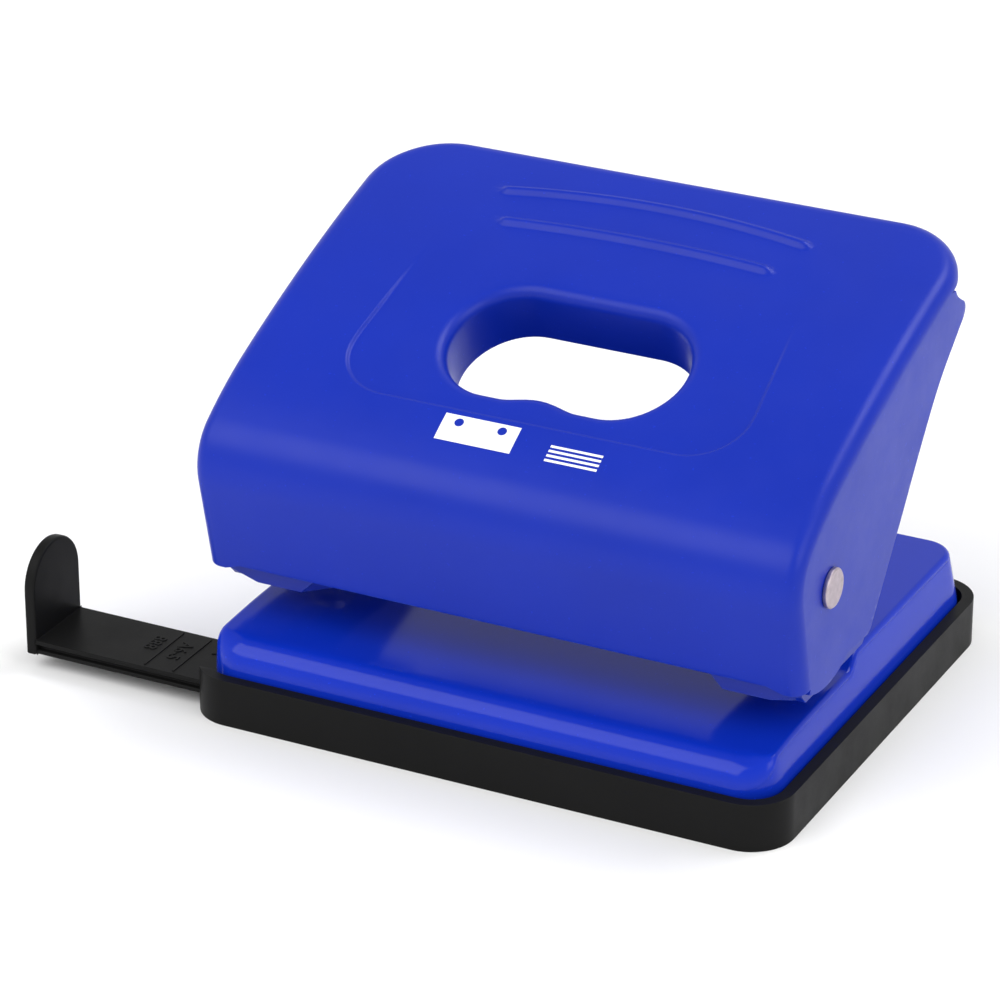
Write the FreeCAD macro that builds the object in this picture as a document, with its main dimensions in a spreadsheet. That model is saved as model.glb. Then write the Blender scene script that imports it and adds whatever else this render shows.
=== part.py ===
import FreeCAD, Part
import math
import os
import Sketcher
from FreeCAD import Placement, Rotation, Vector

# A two-hole paper punch, in millimetres. The origin is the centre of the chip tray's
# underside. +Z is up, the paper goes in from the front along +Y, and +X is to the right.
# Pressing the rear of the handle turns it about the two pivot pins and drives both punches.

# Driving dimensions: alias, size, and what it is. A place is measured from the origin.
DIMENSIONS = (
    ("tray_width", 100.0, "chip tray, left to right"),
    ("tray_depth", 84.0, "chip tray, front to rear"),
    ("tray_height", 7.8, "top of the tray's rim"),
    ("tray_corner", 7.2, "plan radius of the tray's corners"),
    ("tray_wall", 1.9, "rim thickness"),
    ("tray_floor", 1.8, "floor thickness"),
    ("seat_height", 5.6, "shoulder in the tray that the base plate's edge sits on"),
    ("seat_width", 1.5, "width of that shoulder"),
    ("rail_height", 0.7, "rails on the floor that carry the paper guide"),
    ("rail_first", 2.0, "place of the front rail behind the guide's front edge"),
    ("rail_second", 3.0, "place of the rear rail before the guide's rear edge"),
    ("rail_inset", 5.5, "distance from the rails' ends to the tray's inner wall"),
    ("fence_sheet", 1.2, "thickness of the fence behind the paper guide"),
    ("base_gap", 0.3, "gap between the tray's rim and the base plate"),
    ("base_corner", 6.5, "plan radius of the base plate's corners"),
    ("base_edge", 2.4, "radius round the base plate's top edge"),
    ("base_sheet", 1.2, "thickness of the pressed base plate"),
    ("base_low", 13.9, "top of the front half, where the paper lies"),
    ("base_high", 15.9, "top of the rear half"),
    ("step_place", -4.9, "middle of the step in the base plate in Y"),
    ("step_reach", 1.8, "half the length of that step"),
    ("hole_spacing", 80.0, "distance between the two punched holes"),
    ("punch_line", -12.0, "place of the punches in Y, 12 in front of the paper stop"),
    ("punch_radius", 2.75, "radius of the cutting shaft"),
    ("punch_tip", 19.1, "cutting edge at rest"),
    ("tip_hollow", 0.9, "depth of the hollow in a punch's tip"),
    ("head_radius", 4.0, "radius of the punch's round head"),
    ("head_skirt", 1.7, "height of the head's straight part"),
    ("running_gap", 0.05, "radial clearance of a shaft that turns or slides"),
    ("side_gap", 0.1, "play between neighbours along a pin or in a seat"),
    ("drill_low", 8.0, "height where the drills for the base plate's holes start"),
    ("drill_length", 10.0, "length of those drills"),
    ("cut_past", 1.0, "how far a cutting tool runs past the sheet"),
    ("cut_length", 5.0, "length of the drills for a tower's holes"),
    ("die_radius", 5.3, "outer radius of a die"),
    ("die_height", 2.5, "thickness of a die"),
    ("pivot_place", -24.6, "place of the pivot axis in Y"),
    ("pivot_height", 36.9, "height of the pivot axis"),
    ("pivot_radius", 2.5, "radius of a pivot pin"),
    ("pivot_head", 3.1, "radius of the pin's head, outside the handle"),
    ("pivot_cap", 0.8, "thickness of the pin's head"),
    ("pivot_chamfer", 0.25, "chamfer round the pin's head"),
    ("pivot_reach", 1.6, "reach of the pin past the inner cheek"),
    ("washer_radius", 4.3, "outer radius of the washer on a pivot pin"),
    ("clip_radius", 4.0, "outer radius of the clip on a pivot pin"),
    ("clip_sheet", 0.9, "thickness of that clip"),
    ("tower_inner", 32.0, "inner face of a tower from the middle"),
    ("tower_outer", 48.3, "outer face of a tower from the middle"),
    ("tower_sheet", 1.5, "thickness of a tower's sheet"),
    ("tower_floor", 19.0, "underside of a tower's guide plate, the top of the paper slot"),
    ("tower_shelf_end", -5.0, "rear edge of the guide plate"),
    ("tower_boss", 4.9, "radius of a tower's cheek round the pivot"),
    ("neck_step", 1.2, "reach of a cheek's edge behind that radius"),
    ("neck_height", 32.5, "height where a cheek's edge turns to the rear"),
    ("shoulder_place", -16.5, "start of a cheek's sloping edge in Y"),
    ("shoulder_height", 30.8, "height of that start"),
    ("leg_top_place", 7.0, "end of the inner cheek's sloping edge in Y"),
    ("leg_top_height", 21.0, "height of that end"),
    ("foot_wall", 2.5, "height of the inner cheek at the foot's rear edge"),
    ("shelf_wall", 24.0, "height of the outer cheek at the guide plate's rear edge"),
    ("tower_chamfer", 3.6, "cut across a tower's lower inner corner"),
    ("tower_rise", 1.6, "rise of a tower's lower edge at its outer corner"),
    ("tower_rise_length", 5.0, "length of that rise"),
    ("foot_start", 0.0, "front edge of a tower's leg, the paper stop"),
    ("foot_end", 15.0, "rear edge of a tower's foot"),
    ("foot_width", 8.0, "width of a tower's foot"),
    ("rivet_place", 36.8, "place of the foot rivets from the middle"),
    ("rivet_radius", 1.6, "shank of a foot rivet"),
    ("rivet_head", 2.5, "radius of a foot rivet's head"),
    ("rivet_rise", 1.3, "height of a foot rivet's head"),
    ("rivet_rim", 0.3, "height of that head's straight rim"),
    ("rivet_crown", 1.2, "radius of the flat crown on that head"),
    ("rivet_tail", 0.8, "thickness of a foot rivet's spread tail"),
    ("rivet_tail_radius", 2.1, "radius of that tail"),
    ("rivet_first", 4.4, "place of the front foot rivet in Y"),
    ("rivet_second", 11.4, "place of the rear foot rivet in Y"),
    ("bush_radius", 4.1, "outer radius of a guide bush"),
    ("bush_top", 24.5, "top of a guide bush"),
    ("bush_ledge", 0.6, "width of the ledge that a guide bush rests on"),
    ("wire_radius", 0.45, "spring wire"),
    ("spring_radius", 4.9, "mean radius of a spring"),
    ("cap_radius", 5.5, "outer radius of a spring cap"),
    ("cap_height", 1.0, "thickness of a spring cap"),
    ("handle_half", 50.2, "half the handle's width"),
    ("handle_sheet", 1.2, "thickness of the handle's sheet"),
    ("skirt_place", -33.4, "bottom edge of the front skirt in Y"),
    ("skirt_low", 23.3, "bottom edge of the front skirt in Z"),
    ("skirt_lean", 13.0, "degrees that the skirt leans forward going up"),
    ("skirt_length", 14.6, "straight part of the skirt"),
    ("bend_radius", 9.6, "bend between the skirt and the top panel"),
    ("crown_radius", 65.0, "first, tighter part of the top panel's curve"),
    ("panel_radius", 300.0, "rest of the top panel's curve"),
    ("bend_end", 36.0, "degrees of slope where the bend meets the crown"),
    ("crown_end", 24.5, "degrees of slope where the crown meets the panel"),
    ("handle_rear", 32.6, "rear edge of the handle in Y"),
    ("handle_corner", 13.0, "plan radius of the handle's rear corners"),
    ("side_bend", 2.5, "radius of the bend round the panel's edge"),
    ("lip_low", 67.9, "lower edge of the rear lip"),
    ("flange_lobe", 16.1, "radius of the flange's lobe about the pivot"),
    ("finger_place", -9.7, "middle of the finger hole in Y"),
    ("finger_height", 59.1, "middle of the finger hole in Z"),
    ("finger_slope", 22.1, "degrees of slope of the panel at the finger hole"),
    ("finger_half_length", 19.4, "half the finger hole's length"),
    ("finger_half_width", 10.75, "half the finger hole's width"),
    ("finger_bump", 1.2, "rise in the middle of the finger hole's front edge"),
    ("finger_bump_half", 6.0, "half the length of that rise"),
    ("collar_depth", 10.0, "depth of the collar drawn round the finger hole"),
    ("collar_top", 4.0, "reach of the collar's blank above the panel before it is trimmed"),
    ("finger_cut_below", 3.0, "how far the finger hole's cut runs below the collar"),
    ("finger_cut_above", 8.0, "how far that cut runs above the panel"),
    ("inner_floor", 14.0, "height down to which the handle is hollowed"),
    ("bar_low", 40.95, "underside of the press bar"),
    ("bar_sheet", 2.0, "thickness of the press bar"),
    ("bar_front", -17.0, "front edge of the press bar"),
    ("bar_rear", -7.0, "rear edge of the press bar"),
    ("bar_tab", 7.0, "height of the tabs at the press bar's ends"),
    ("guide_front", -39.0, "front edge of the paper guide"),
    ("guide_rear", -25.4, "rear edge of the paper guide"),
    ("guide_gap", 0.3, "clearance round the guide in the tray"),
    ("guide_low", 2.6, "underside of the paper guide"),
    ("guide_top", 5.1, "top of the paper guide's bar"),
    ("guide_left", -80.3, "outer face of the guide's tab"),
    ("guide_right", 8.0, "inner end of the guide's bar"),
    ("guide_tab", 1.9, "thickness of the tab"),
    ("guide_tab_top", 20.0, "top of the tab"),
)

SIDES = (("left", -1), ("right", 1))

doc = FreeCAD.newDocument("HolePunch")


class Size:
    """A number together with the spreadsheet formula that gives it."""

    def __init__(self, number, formula=None):
        self.number = float(number)
        self.formula = formula or f"{self.number:.6f}"

    def joined(self, sign, other, number):
        return Size(number, f"({self.formula} {sign} {other.formula})")

    def __add__(self, other):
        other = as_size(other)
        return self.joined("+", other, self.number + other.number)

    def __sub__(self, other):
        other = as_size(other)
        return self.joined("-", other, self.number - other.number)

    def __mul__(self, other):
        other = as_size(other)
        return self.joined("*", other, self.number * other.number)

    def __truediv__(self, other):
        other = as_size(other)
        return self.joined("/", other, self.number / other.number)

    def __neg__(self):
        return self * -1

    def __radd__(self, other):
        return as_size(other) + self

    def __rsub__(self, other):
        return as_size(other) - self

    def __rmul__(self, other):
        return as_size(other) * self


def as_size(value):
    return value if isinstance(value, Size) else Size(value)


class Sizes:
    """The driving dimensions by name, each bound to its cell."""


def make_sheet():
    """Fill the spreadsheet and return its dimensions by name."""
    sheet = doc.addObject("Spreadsheet::Sheet", "Sizes")
    for row, (alias, number, note) in enumerate(DIMENSIONS, start=1):
        sheet.set(f"A{row}", alias)
        sheet.set(f"B{row}", str(number))
        sheet.setAlias(f"B{row}", alias)
        sheet.set(f"C{row}", note)
    doc.recompute()
    sizes = Sizes()
    for alias, number, note in DIMENSIONS:
        setattr(sizes, alias, Size(sheet.get(alias), f"Sizes.{alias}"))
    return sizes


S = make_sheet()


# ---- helpers for Part objects ----

def bind(item, **paths):
    """Bind properties to sizes. Two underscores in a name stand for the dots of its path."""
    for path, size in paths.items():
        item.setExpression(path.replace("__", "."), as_size(size).formula)


def place(item, x=0, y=0, z=0):
    bind(item, Placement__Base__x=x, Placement__Base__y=y, Placement__Base__z=z)


def box(name, x_from, x_to, y_from, y_to, z_from, z_to):
    """A box between two values of each coordinate."""
    item = doc.addObject("Part::Box", name)
    bind(item, Length=x_to - x_from, Width=y_to - y_from, Height=z_to - z_from)
    place(item, x_from, y_from, z_from)
    return item


def cylinder(name, radius, x, y, z, length, along_x=False):
    """A cylinder that starts at x, y, z and runs up, or towards +X."""
    item = doc.addObject("Part::Cylinder", name)
    if along_x:
        item.Placement = Placement(Vector(), Rotation(Vector(0, 1, 0), 90))
    bind(item, Radius=radius, Height=length)
    place(item, x, y, z)
    return item


def fuse(name, items):
    item = doc.addObject("Part::MultiFuse", name)
    item.Shapes = items
    item.Refine = True
    return item


def cut(name, base, tools):
    """The base with every tool taken away."""
    item = doc.addObject("Part::Cut", name)
    item.Base = base
    item.Tool = tools[0] if len(tools) == 1 else fuse(name + "_tools", tools)
    item.Refine = True
    return item


def common(name, first, second):
    item = doc.addObject("Part::Common", name)
    item.Base = first
    item.Tool = second
    return item


def fillet(name, base, radius, chosen):
    """Round the edges of the base for which chosen(edge) is true."""
    doc.recompute()
    item = doc.addObject("Part::Fillet", name)
    item.Base = base
    item.Edges = [
        (index, radius.number, radius.number)
        for index, edge in enumerate(base.Shape.Edges, start=1)
        if chosen(edge)
    ]
    doc.recompute()
    return item


def middle(edge):
    return edge.valueAt((edge.FirstParameter + edge.LastParameter) / 2)


def extruded(name, profile, length):
    """A flat profile in a YZ plane, pushed along +X by length."""
    item = doc.addObject("Part::Extrusion", name)
    item.Base = profile
    item.DirMode = "Custom"
    item.Dir = Vector(1, 0, 0)
    item.Solid = True
    bind(item, LengthFwd=length)
    return item


def profile_face(name, edges, x):
    """A flat face in the plane of the given x, from edges in order."""
    item = doc.addObject("Part::Feature", name)
    item.Shape = Part.Face(Part.Wire(edges))
    place(item, x)
    return item


def side_point(y, z):
    return Vector(0, y, z)


def side_line(start, end):
    return Part.LineSegment(side_point(*start), side_point(*end)).toShape()


def side_arc(start, through, end):
    return Part.Arc(side_point(*start), side_point(*through), side_point(*end)).toShape()


# ---- helpers for PartDesign bodies ----

def new_body(label):
    body = doc.addObject("PartDesign::Body", label)
    body.Label = label
    return body


def new_sketch(body, name, role, offset=0):
    """A sketch on one of the body's own origin planes, moved along its normal by offset."""
    sketch = body.newObject("Sketcher::SketchObject", name)
    plane = next(part for part in body.Origin.OriginFeatures if part.Role == role)
    sketch.AttachmentSupport = [(plane, "")]
    sketch.MapMode = "FlatFace"
    sketch.setExpression("AttachmentOffset.Base.z", as_size(offset).formula)
    return sketch


def hold(sketch, kind, geometry, point, size):
    """Fix one coordinate of a point, measured from the sketch's origin."""
    size = as_size(size)
    if abs(size.number) < 1e-9:
        axis = -2 if kind == "DistanceX" else -1
        sketch.addConstraint(Sketcher.Constraint("PointOnObject", geometry, point, axis))
        return
    index = sketch.addConstraint(Sketcher.Constraint(kind, -1, 1, geometry, point, size.number))
    sketch.setExpression(f"Constraints[{index}]", size.formula)


def draw_outline(sketch, corners):
    """A closed outline of straight lines through the corners, held at each corner."""
    corners = [(as_size(across), as_size(up)) for across, up in corners]
    points = [Vector(across.number, up.number, 0) for across, up in corners]
    following = points[1:] + points[:1]
    for start, end in zip(points, following):
        sketch.addGeometry(Part.LineSegment(start, end), False)
    for index in range(len(points)):
        after = (index + 1) % len(points)
        sketch.addConstraint(Sketcher.Constraint("Coincident", index, 2, after, 1))
    for index, (across, up) in enumerate(corners):
        hold(sketch, "DistanceX", index, 1, across)
        hold(sketch, "DistanceY", index, 1, up)


def draw_circle(sketch, radius, x=0, y=0):
    radius = as_size(radius)
    centre = Vector(as_size(x).number, as_size(y).number, 0)
    circle = sketch.addGeometry(Part.Circle(centre, Vector(0, 0, 1), radius.number), False)
    hold(sketch, "DistanceX", circle, 3, x)
    hold(sketch, "DistanceY", circle, 3, y)
    index = sketch.addConstraint(Sketcher.Constraint("Radius", circle, radius.number))
    sketch.setExpression(f"Constraints[{index}]", radius.formula)


def add_feature(body, kind, name, sketch, **paths):
    """A feature made from a sketch, with its sizes bound."""
    feature = body.newObject(kind, name)
    feature.Profile = sketch
    bind(feature, **paths)
    return feature


def volume_of(body):
    doc.recompute()
    return body.Shape.Volume


def add_pocket(body, name, sketch, depth, upward=False):
    """A pocket, and a check that it really took material away."""
    before = volume_of(body)
    pocket = add_feature(body, "PartDesign::Pocket", name, sketch, Length=depth)
    pocket.Reversed = upward
    if volume_of(body) > before - 0.01:
        raise RuntimeError(f"{name} cuts nothing")
    return pocket


def dress(body, kind, name, size, chosen, prop):
    """Fillet or chamfer the body's edges for which chosen(edge) is true."""
    doc.recompute()
    tip = body.Tip
    names = [f"Edge{i}" for i, edge in enumerate(tip.Shape.Edges, start=1) if chosen(edge)]
    feature = body.newObject(kind, name)
    feature.Base = (tip, names)
    bind(feature, **{prop: size})
    doc.recompute()
    return feature


def round_edges(body, name, radius, chosen):
    return dress(body, "PartDesign::Fillet", name, radius, chosen, "Radius")


def is_upright(edge):
    low = edge.BoundBox
    return low.ZLength > 0.5 and low.XLength < 0.01 and low.YLength < 0.01


def revolve(body, name, sketch):
    """Turn a sketch of the XZ plane once about the Z axis."""
    feature = body.newObject("PartDesign::Revolution", name)
    feature.Profile = sketch
    feature.ReferenceAxis = (sketch, ["V_Axis"])
    feature.Angle = 360
    return feature


# ---- chip tray ----

def draw_rectangle(sketch, half_x, y_from, y_to):
    draw_outline(sketch, ((-half_x, y_from), (half_x, y_from), (half_x, y_to), (-half_x, y_to)))


def draw_rounded(sketch, half_x, y_from, y_to, radius):
    """A rectangle with round corners, drawn anticlockwise from its lower side."""
    x, low, high, r = half_x.number, y_from.number, y_to.number, radius.number
    corners = ((x - r, low + r), (x - r, high - r), (r - x, high - r), (r - x, low + r))
    ends = (
        ((r - x, low), (x - r, low)), ((x, low + r), (x, high - r)),
        ((x - r, high), (r - x, high)), ((-x, high - r), (-x, low + r)),
    )
    for side, ((start, end), centre) in enumerate(zip(ends, corners)):
        sketch.addGeometry(Part.LineSegment(Vector(*start, 0), Vector(*end, 0)), False)
        circle = Part.Circle(Vector(*centre, 0), Vector(0, 0, 1), r)
        angle = (side - 1) * math.pi / 2
        sketch.addGeometry(Part.ArcOfCircle(circle, angle, angle + math.pi / 2), False)
    for side in range(4):
        line, arc, following = 2 * side, 2 * side + 1, (2 * side + 2) % 8
        sketch.addConstraint(Sketcher.Constraint("Tangent", line, 2, arc, 1))
        sketch.addConstraint(Sketcher.Constraint("Tangent", arc, 2, following, 1))
        direction = "Vertical" if side % 2 else "Horizontal"
        sketch.addConstraint(Sketcher.Constraint(direction, line))
        if side:
            sketch.addConstraint(Sketcher.Constraint("Equal", 1, arc))
    index = sketch.addConstraint(Sketcher.Constraint("Radius", 1, r))
    sketch.setExpression(f"Constraints[{index}]", radius.formula)
    hold(sketch, "DistanceY", 0, 1, y_from)
    hold(sketch, "DistanceX", 2, 1, half_x)
    hold(sketch, "DistanceY", 4, 1, y_to)
    hold(sketch, "DistanceX", 6, 1, -half_x)


def make_tray():
    """Moulded tray: rim, shoulder for the base plate, and the gap for the paper guide."""
    body = new_body("base_tray")
    half_x = S.tray_width / 2
    half_y = S.tray_depth / 2
    block = new_sketch(body, "TrayOutline", "XY_Plane")
    draw_rounded(block, half_x, -half_y, half_y, S.tray_corner)
    add_feature(body, "PartDesign::Pad", "TrayBlock", block, Length=S.tray_height)

    inner_corner = S.tray_corner - S.tray_wall
    rim_y = half_y - S.tray_wall
    rim = new_sketch(body, "RimOutline", "XY_Plane", S.seat_height)
    draw_rounded(rim, half_x - S.tray_wall, -rim_y, rim_y, inner_corner)
    add_pocket(body, "RimPocket", rim, S.tray_height - S.seat_height + 1, upward=True)

    inside = new_sketch(body, "InsideOutline", "XY_Plane", S.tray_floor)
    inside_x = half_x - S.tray_wall - S.seat_width
    draw_rounded(inside, inside_x, -rim_y, rim_y - S.seat_width, inner_corner)
    add_pocket(body, "ChipSpace", inside, S.tray_height, upward=True)

    gap = new_sketch(body, "GuideGapOutline", "XY_Plane", S.guide_low - S.guide_gap)
    draw_outline(gap, (
        (-half_x - 1, S.guide_front - S.guide_gap),
        (inner_corner - inside_x, S.guide_front - S.guide_gap),
        (inner_corner - inside_x, S.guide_rear + S.guide_gap),
        (-half_x - 1, S.guide_rear + S.guide_gap),
    ))
    add_pocket(body, "GuideGap", gap, S.tray_height, upward=True)

    for number, y in ((1, S.guide_front + S.rail_first), (2, S.guide_rear - S.rail_second)):
        rail = new_sketch(body, f"RailOutline{number}", "XY_Plane", S.tray_floor)
        draw_rectangle(rail, inside_x - S.rail_inset, y, y + 1)
        add_feature(body, "PartDesign::Pad", f"Rail{number}", rail, Length=S.rail_height)

    fence = new_sketch(body, "FenceOutline", "XY_Plane", S.tray_floor)
    fence_start = S.guide_rear + S.guide_gap
    draw_rectangle(fence, inside_x - S.rail_inset, fence_start, fence_start + S.fence_sheet)
    add_feature(body, "PartDesign::Pad", "Fence", fence, Length=S.guide_top - S.tray_floor)
    return body


# ---- base plate ----

def base_profile(name, drop, bottom, half_x):
    """Side view of the base plate's blank: flat, a soft S-shaped step, and flat again."""
    half_y = S.tray_depth.number / 2
    low = S.base_low.number - drop
    high = S.base_high.number - drop
    reach = S.step_reach.number
    rise = (high - low) / 2
    radius = (reach ** 2 + rise ** 2) / (2 * rise)
    half_turn = math.asin(reach / radius) / 2
    place_y = S.step_place.number
    centre = (place_y, low + rise)
    start = (place_y - reach, low)
    end = (place_y + reach, high)
    first = (start[0] + radius * math.sin(half_turn), low + radius * (1 - math.cos(half_turn)))
    second = (end[0] - radius * math.sin(half_turn), high - radius * (1 - math.cos(half_turn)))
    edges = (
        side_line((-half_y, low), start),
        side_arc(start, first, centre),
        side_arc(centre, second, end),
        side_line(end, (half_y, high)),
        side_line((half_y, high), (half_y, bottom)),
        side_line((half_y, bottom), (-half_y, bottom)),
        side_line((-half_y, bottom), (-half_y, low)),
    )
    return profile_face(name, edges, -half_x)


def base_blank(name, inset):
    """A solid block with the base plate's shape, smaller all round by inset."""
    side_gap = S.tray_wall + S.base_gap + inset
    half_x = S.tray_width / 2 - side_gap
    half_y = S.tray_depth / 2 - side_gap
    bottom = S.seat_height - inset
    profile = base_profile(name + "_profile", inset.number, bottom.number, half_x)
    slab = extruded(name + "_slab", profile, half_x * 2)
    prism = box(name + "_prism", -half_x, half_x, -half_y, half_y, bottom, S.base_high + 1)
    prism = fillet(name + "_plan", prism, S.base_corner - inset, is_upright)
    block = common(name + "_block", slab, prism)
    floor = bottom.number

    def is_top_edge(edge):
        span = edge.BoundBox
        point = middle(edge)
        at_wall = (abs(abs(point.x) - half_x.number) < 0.01 or abs(abs(point.y) - half_y.number) < 0.01
                   or edge.Curve.TypeId == "Part::GeomCircle" and abs(point.y) > half_y.number - 6)
        return span.ZMin > floor + 1 and at_wall and not is_upright(edge)

    return fillet(name, block, S.base_edge - inset, is_top_edge)


def make_base_plate():
    """Pressed steel cover with holes over the dies and for the tower rivets."""
    outer = base_blank("base_outer", Size(0))
    inner = base_blank("base_inner", S.base_sheet)
    tools = [inner]
    for word, side in SIDES:
        x = side * S.hole_spacing / 2
        hole = cylinder(f"{word}_paper_hole", S.punch_radius + S.running_gap, x, S.punch_line,
                        S.drill_low, S.drill_length)
        tools.append(hole)
        for number, y in enumerate((S.rivet_first, S.rivet_second), start=1):
            name = f"{word}_base_rivet_hole_{number}"
            place_x = side * S.rivet_place
            tools.append(cylinder(name, S.rivet_radius, place_x, y, S.drill_low, S.drill_length))
    plate = cut("base_plate", outer, tools)
    plate.Label = "base_plate"
    return plate


def make_die(word, side):
    """Hardened ring under the base plate that the punch cuts into."""
    body = new_body(f"{word}_die")
    ring = new_sketch(body, f"{word}DieOutline", "XY_Plane")
    draw_circle(ring, S.die_radius)
    draw_circle(ring, S.punch_radius + S.running_gap)
    add_feature(body, "PartDesign::Pad", f"{word}DieRing", ring, Length=S.die_height)
    place(body, side * S.hole_spacing / 2, S.punch_line, S.base_low - S.base_sheet - S.die_height)
    return body


# ---- towers ----

def cheek_profile(name, x, has_leg):
    """Side view of a tower's cheek: round over the pivot and low behind it, with or without a leg."""
    pivot_y = S.pivot_place.number
    pivot_z = S.pivot_height.number
    boss = S.tower_boss.number
    front = pivot_y - boss
    floor = S.tower_floor.number
    base = S.base_high.number
    cut_corner = S.tower_chamfer.number if has_leg else S.tower_rise.number
    rear_top = (pivot_y + boss, pivot_z)
    neck = (pivot_y + boss + S.neck_step.number, S.neck_height.number)
    shoulder = (S.shoulder_place.number, S.shoulder_height.number)
    foot_rear = S.foot_end.number
    foot_front = S.foot_start.number
    shelf_end = S.tower_shelf_end.number
    if has_leg:
        leg_top = (S.leg_top_place.number, S.leg_top_height.number)
        foot_top = (foot_rear, base + S.foot_wall.number)
        tail = (leg_top, foot_top, (foot_rear, base), (foot_front, base), (foot_front, floor))
    else:
        sheet = S.tower_sheet.number
        tail = ((shelf_end, S.shelf_wall.number), (shelf_end, floor + sheet), (shelf_end - sheet, floor))
    outline = (rear_top, neck, shoulder) + tail + (
        (front + cut_corner, floor), (front, floor + cut_corner), (front, pivot_z),
    )
    edges = [side_arc((front, pivot_z), (pivot_y, pivot_z + boss), rear_top)]
    edges += [side_line(start, end) for start, end in zip(outline, outline[1:])]
    return profile_face(name, edges, x)


def make_tower_wall(word, side):
    """Front wall of a tower: its lower edge is cut at the inner corner and rises at the outer one."""
    body = new_body(f"{word}_tower_wall")
    front = S.pivot_place - S.tower_boss
    outline = new_sketch(body, f"{word}WallOutline", "XZ_Plane", -(front + S.tower_sheet))
    draw_outline(outline, (
        (side * S.tower_inner, S.pivot_height),
        (side * S.tower_inner, S.tower_floor + S.tower_chamfer),
        (side * (S.tower_inner + S.tower_chamfer), S.tower_floor),
        (side * (S.tower_outer - S.tower_rise_length), S.tower_floor),
        (side * S.tower_outer, S.tower_floor + S.tower_rise),
        (side * S.tower_outer, S.pivot_height),
    ))
    add_feature(body, "PartDesign::Pad", f"{word}WallPad", outline, Length=S.tower_sheet)
    return body


def make_tower_shelf(word, side):
    """Guide plate of a tower, over the paper; its front corners follow the wall's lower edge."""
    body = new_body(f"{word}_tower_shelf")
    front = S.pivot_place - S.tower_boss
    outline = new_sketch(body, f"{word}ShelfOutline", "XY_Plane", S.tower_floor)
    draw_outline(outline, (
        (side * S.tower_inner, S.tower_shelf_end),
        (side * S.tower_inner, front + S.tower_chamfer),
        (side * (S.tower_inner + S.tower_chamfer), front),
        (side * (S.tower_outer - S.tower_rise_length), front),
        (side * (S.tower_outer - S.tower_sheet), front + S.tower_rise),
        (side * (S.tower_outer - S.tower_sheet), S.tower_shelf_end),
    ))
    add_feature(body, "PartDesign::Pad", f"{word}ShelfPad", outline, Length=S.tower_sheet)
    return body


def make_tower(word, side):
    """Folded bracket: two cheeks, a front wall, a guide plate, and a riveted foot on the inner cheek."""
    name = f"{word}_tower"
    sheet = S.tower_sheet
    inner_x = S.tower_inner if side > 0 else -(S.tower_inner + sheet)
    outer_x = S.tower_outer - sheet if side > 0 else -S.tower_outer
    foot_x = S.tower_inner if side > 0 else -(S.tower_inner + S.foot_width)
    pin_x = S.tower_inner - 1 if side > 0 else -(S.tower_outer + 1)
    parts = [
        extruded(name + "_inner_cheek", cheek_profile(name + "_inner_profile", inner_x, True), sheet),
        extruded(name + "_outer_cheek", cheek_profile(name + "_outer_profile", outer_x, False), sheet),
        make_tower_wall(word, side),
        make_tower_shelf(word, side),
        box(name + "_foot", foot_x, foot_x + S.foot_width, S.foot_start, S.foot_end,
            S.base_high, S.base_high + sheet),
    ]
    shell = fuse(name + "_shell", parts)
    tools = [
        cylinder(name + "_pin_hole", S.pivot_radius, pin_x, S.pivot_place, S.pivot_height,
                 S.tower_outer - S.tower_inner + S.cut_past * 2, along_x=True),
        cylinder(name + "_bush_hole", S.bush_radius - S.bush_ledge, side * S.hole_spacing / 2, S.punch_line,
                 S.tower_floor - S.cut_past, S.cut_length),
    ]
    for number, y in enumerate((S.rivet_first, S.rivet_second), start=1):
        tools.append(cylinder(f"{name}_rivet_hole_{number}", S.rivet_radius, side * S.rivet_place, y,
                              S.base_high - S.cut_past, S.cut_length))
    tower = cut(name, shell, tools)
    tower.Label = name
    return tower


def make_guide_bush(word, side):
    """Flanged bush pressed into the guide plate; the punch slides in it."""
    body = new_body(f"{word}_guide_bush")
    outline = new_sketch(body, f"{word}BushOutline", "XZ_Plane")
    bore = S.punch_radius + S.running_gap
    shelf_top = S.tower_floor + S.tower_sheet
    draw_outline(outline, (
        (bore, S.tower_floor + S.side_gap),
        (S.bush_radius - S.bush_ledge, S.tower_floor + S.side_gap),
        (S.bush_radius - S.bush_ledge, shelf_top),
        (S.bush_radius, shelf_top),
        (S.bush_radius, S.bush_top),
        (bore, S.bush_top),
    ))
    revolve(body, f"{word}BushTurned", outline)
    place(body, side * S.hole_spacing / 2, S.punch_line)
    return body


def make_rivets():
    """Four round-headed rivets with a spread tail under the base plate."""
    solids = []
    foot_top = S.base_high + S.tower_sheet
    sheet_low = S.base_high - S.base_sheet
    for word, side in SIDES:
        x = side * S.rivet_place
        for number, y in enumerate((S.rivet_first, S.rivet_second), start=1):
            name = f"{word}_rivet_{number}"
            shank = cylinder(name + "_shank", S.rivet_radius, x, y, sheet_low, foot_top - sheet_low)
            tail_low = sheet_low - S.rivet_tail
            tail = cylinder(name + "_tail", S.rivet_tail_radius, x, y, tail_low, S.rivet_tail)
            collar = cylinder(name + "_collar", S.rivet_head, x, y, foot_top, S.rivet_rim)
            dome = doc.addObject("Part::Cone", name + "_dome")
            bind(dome, Radius1=S.rivet_head, Radius2=S.rivet_crown, Height=S.rivet_rise - S.rivet_rim)
            place(dome, x, y, foot_top + S.rivet_rim)
            solids.append(fuse(name, [shank, tail, collar, dome]))
    group = doc.addObject("Part::Compound", "tower_rivets")
    group.Links = solids
    group.Label = "tower_rivets"
    return group


# ---- punches and springs ----

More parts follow.
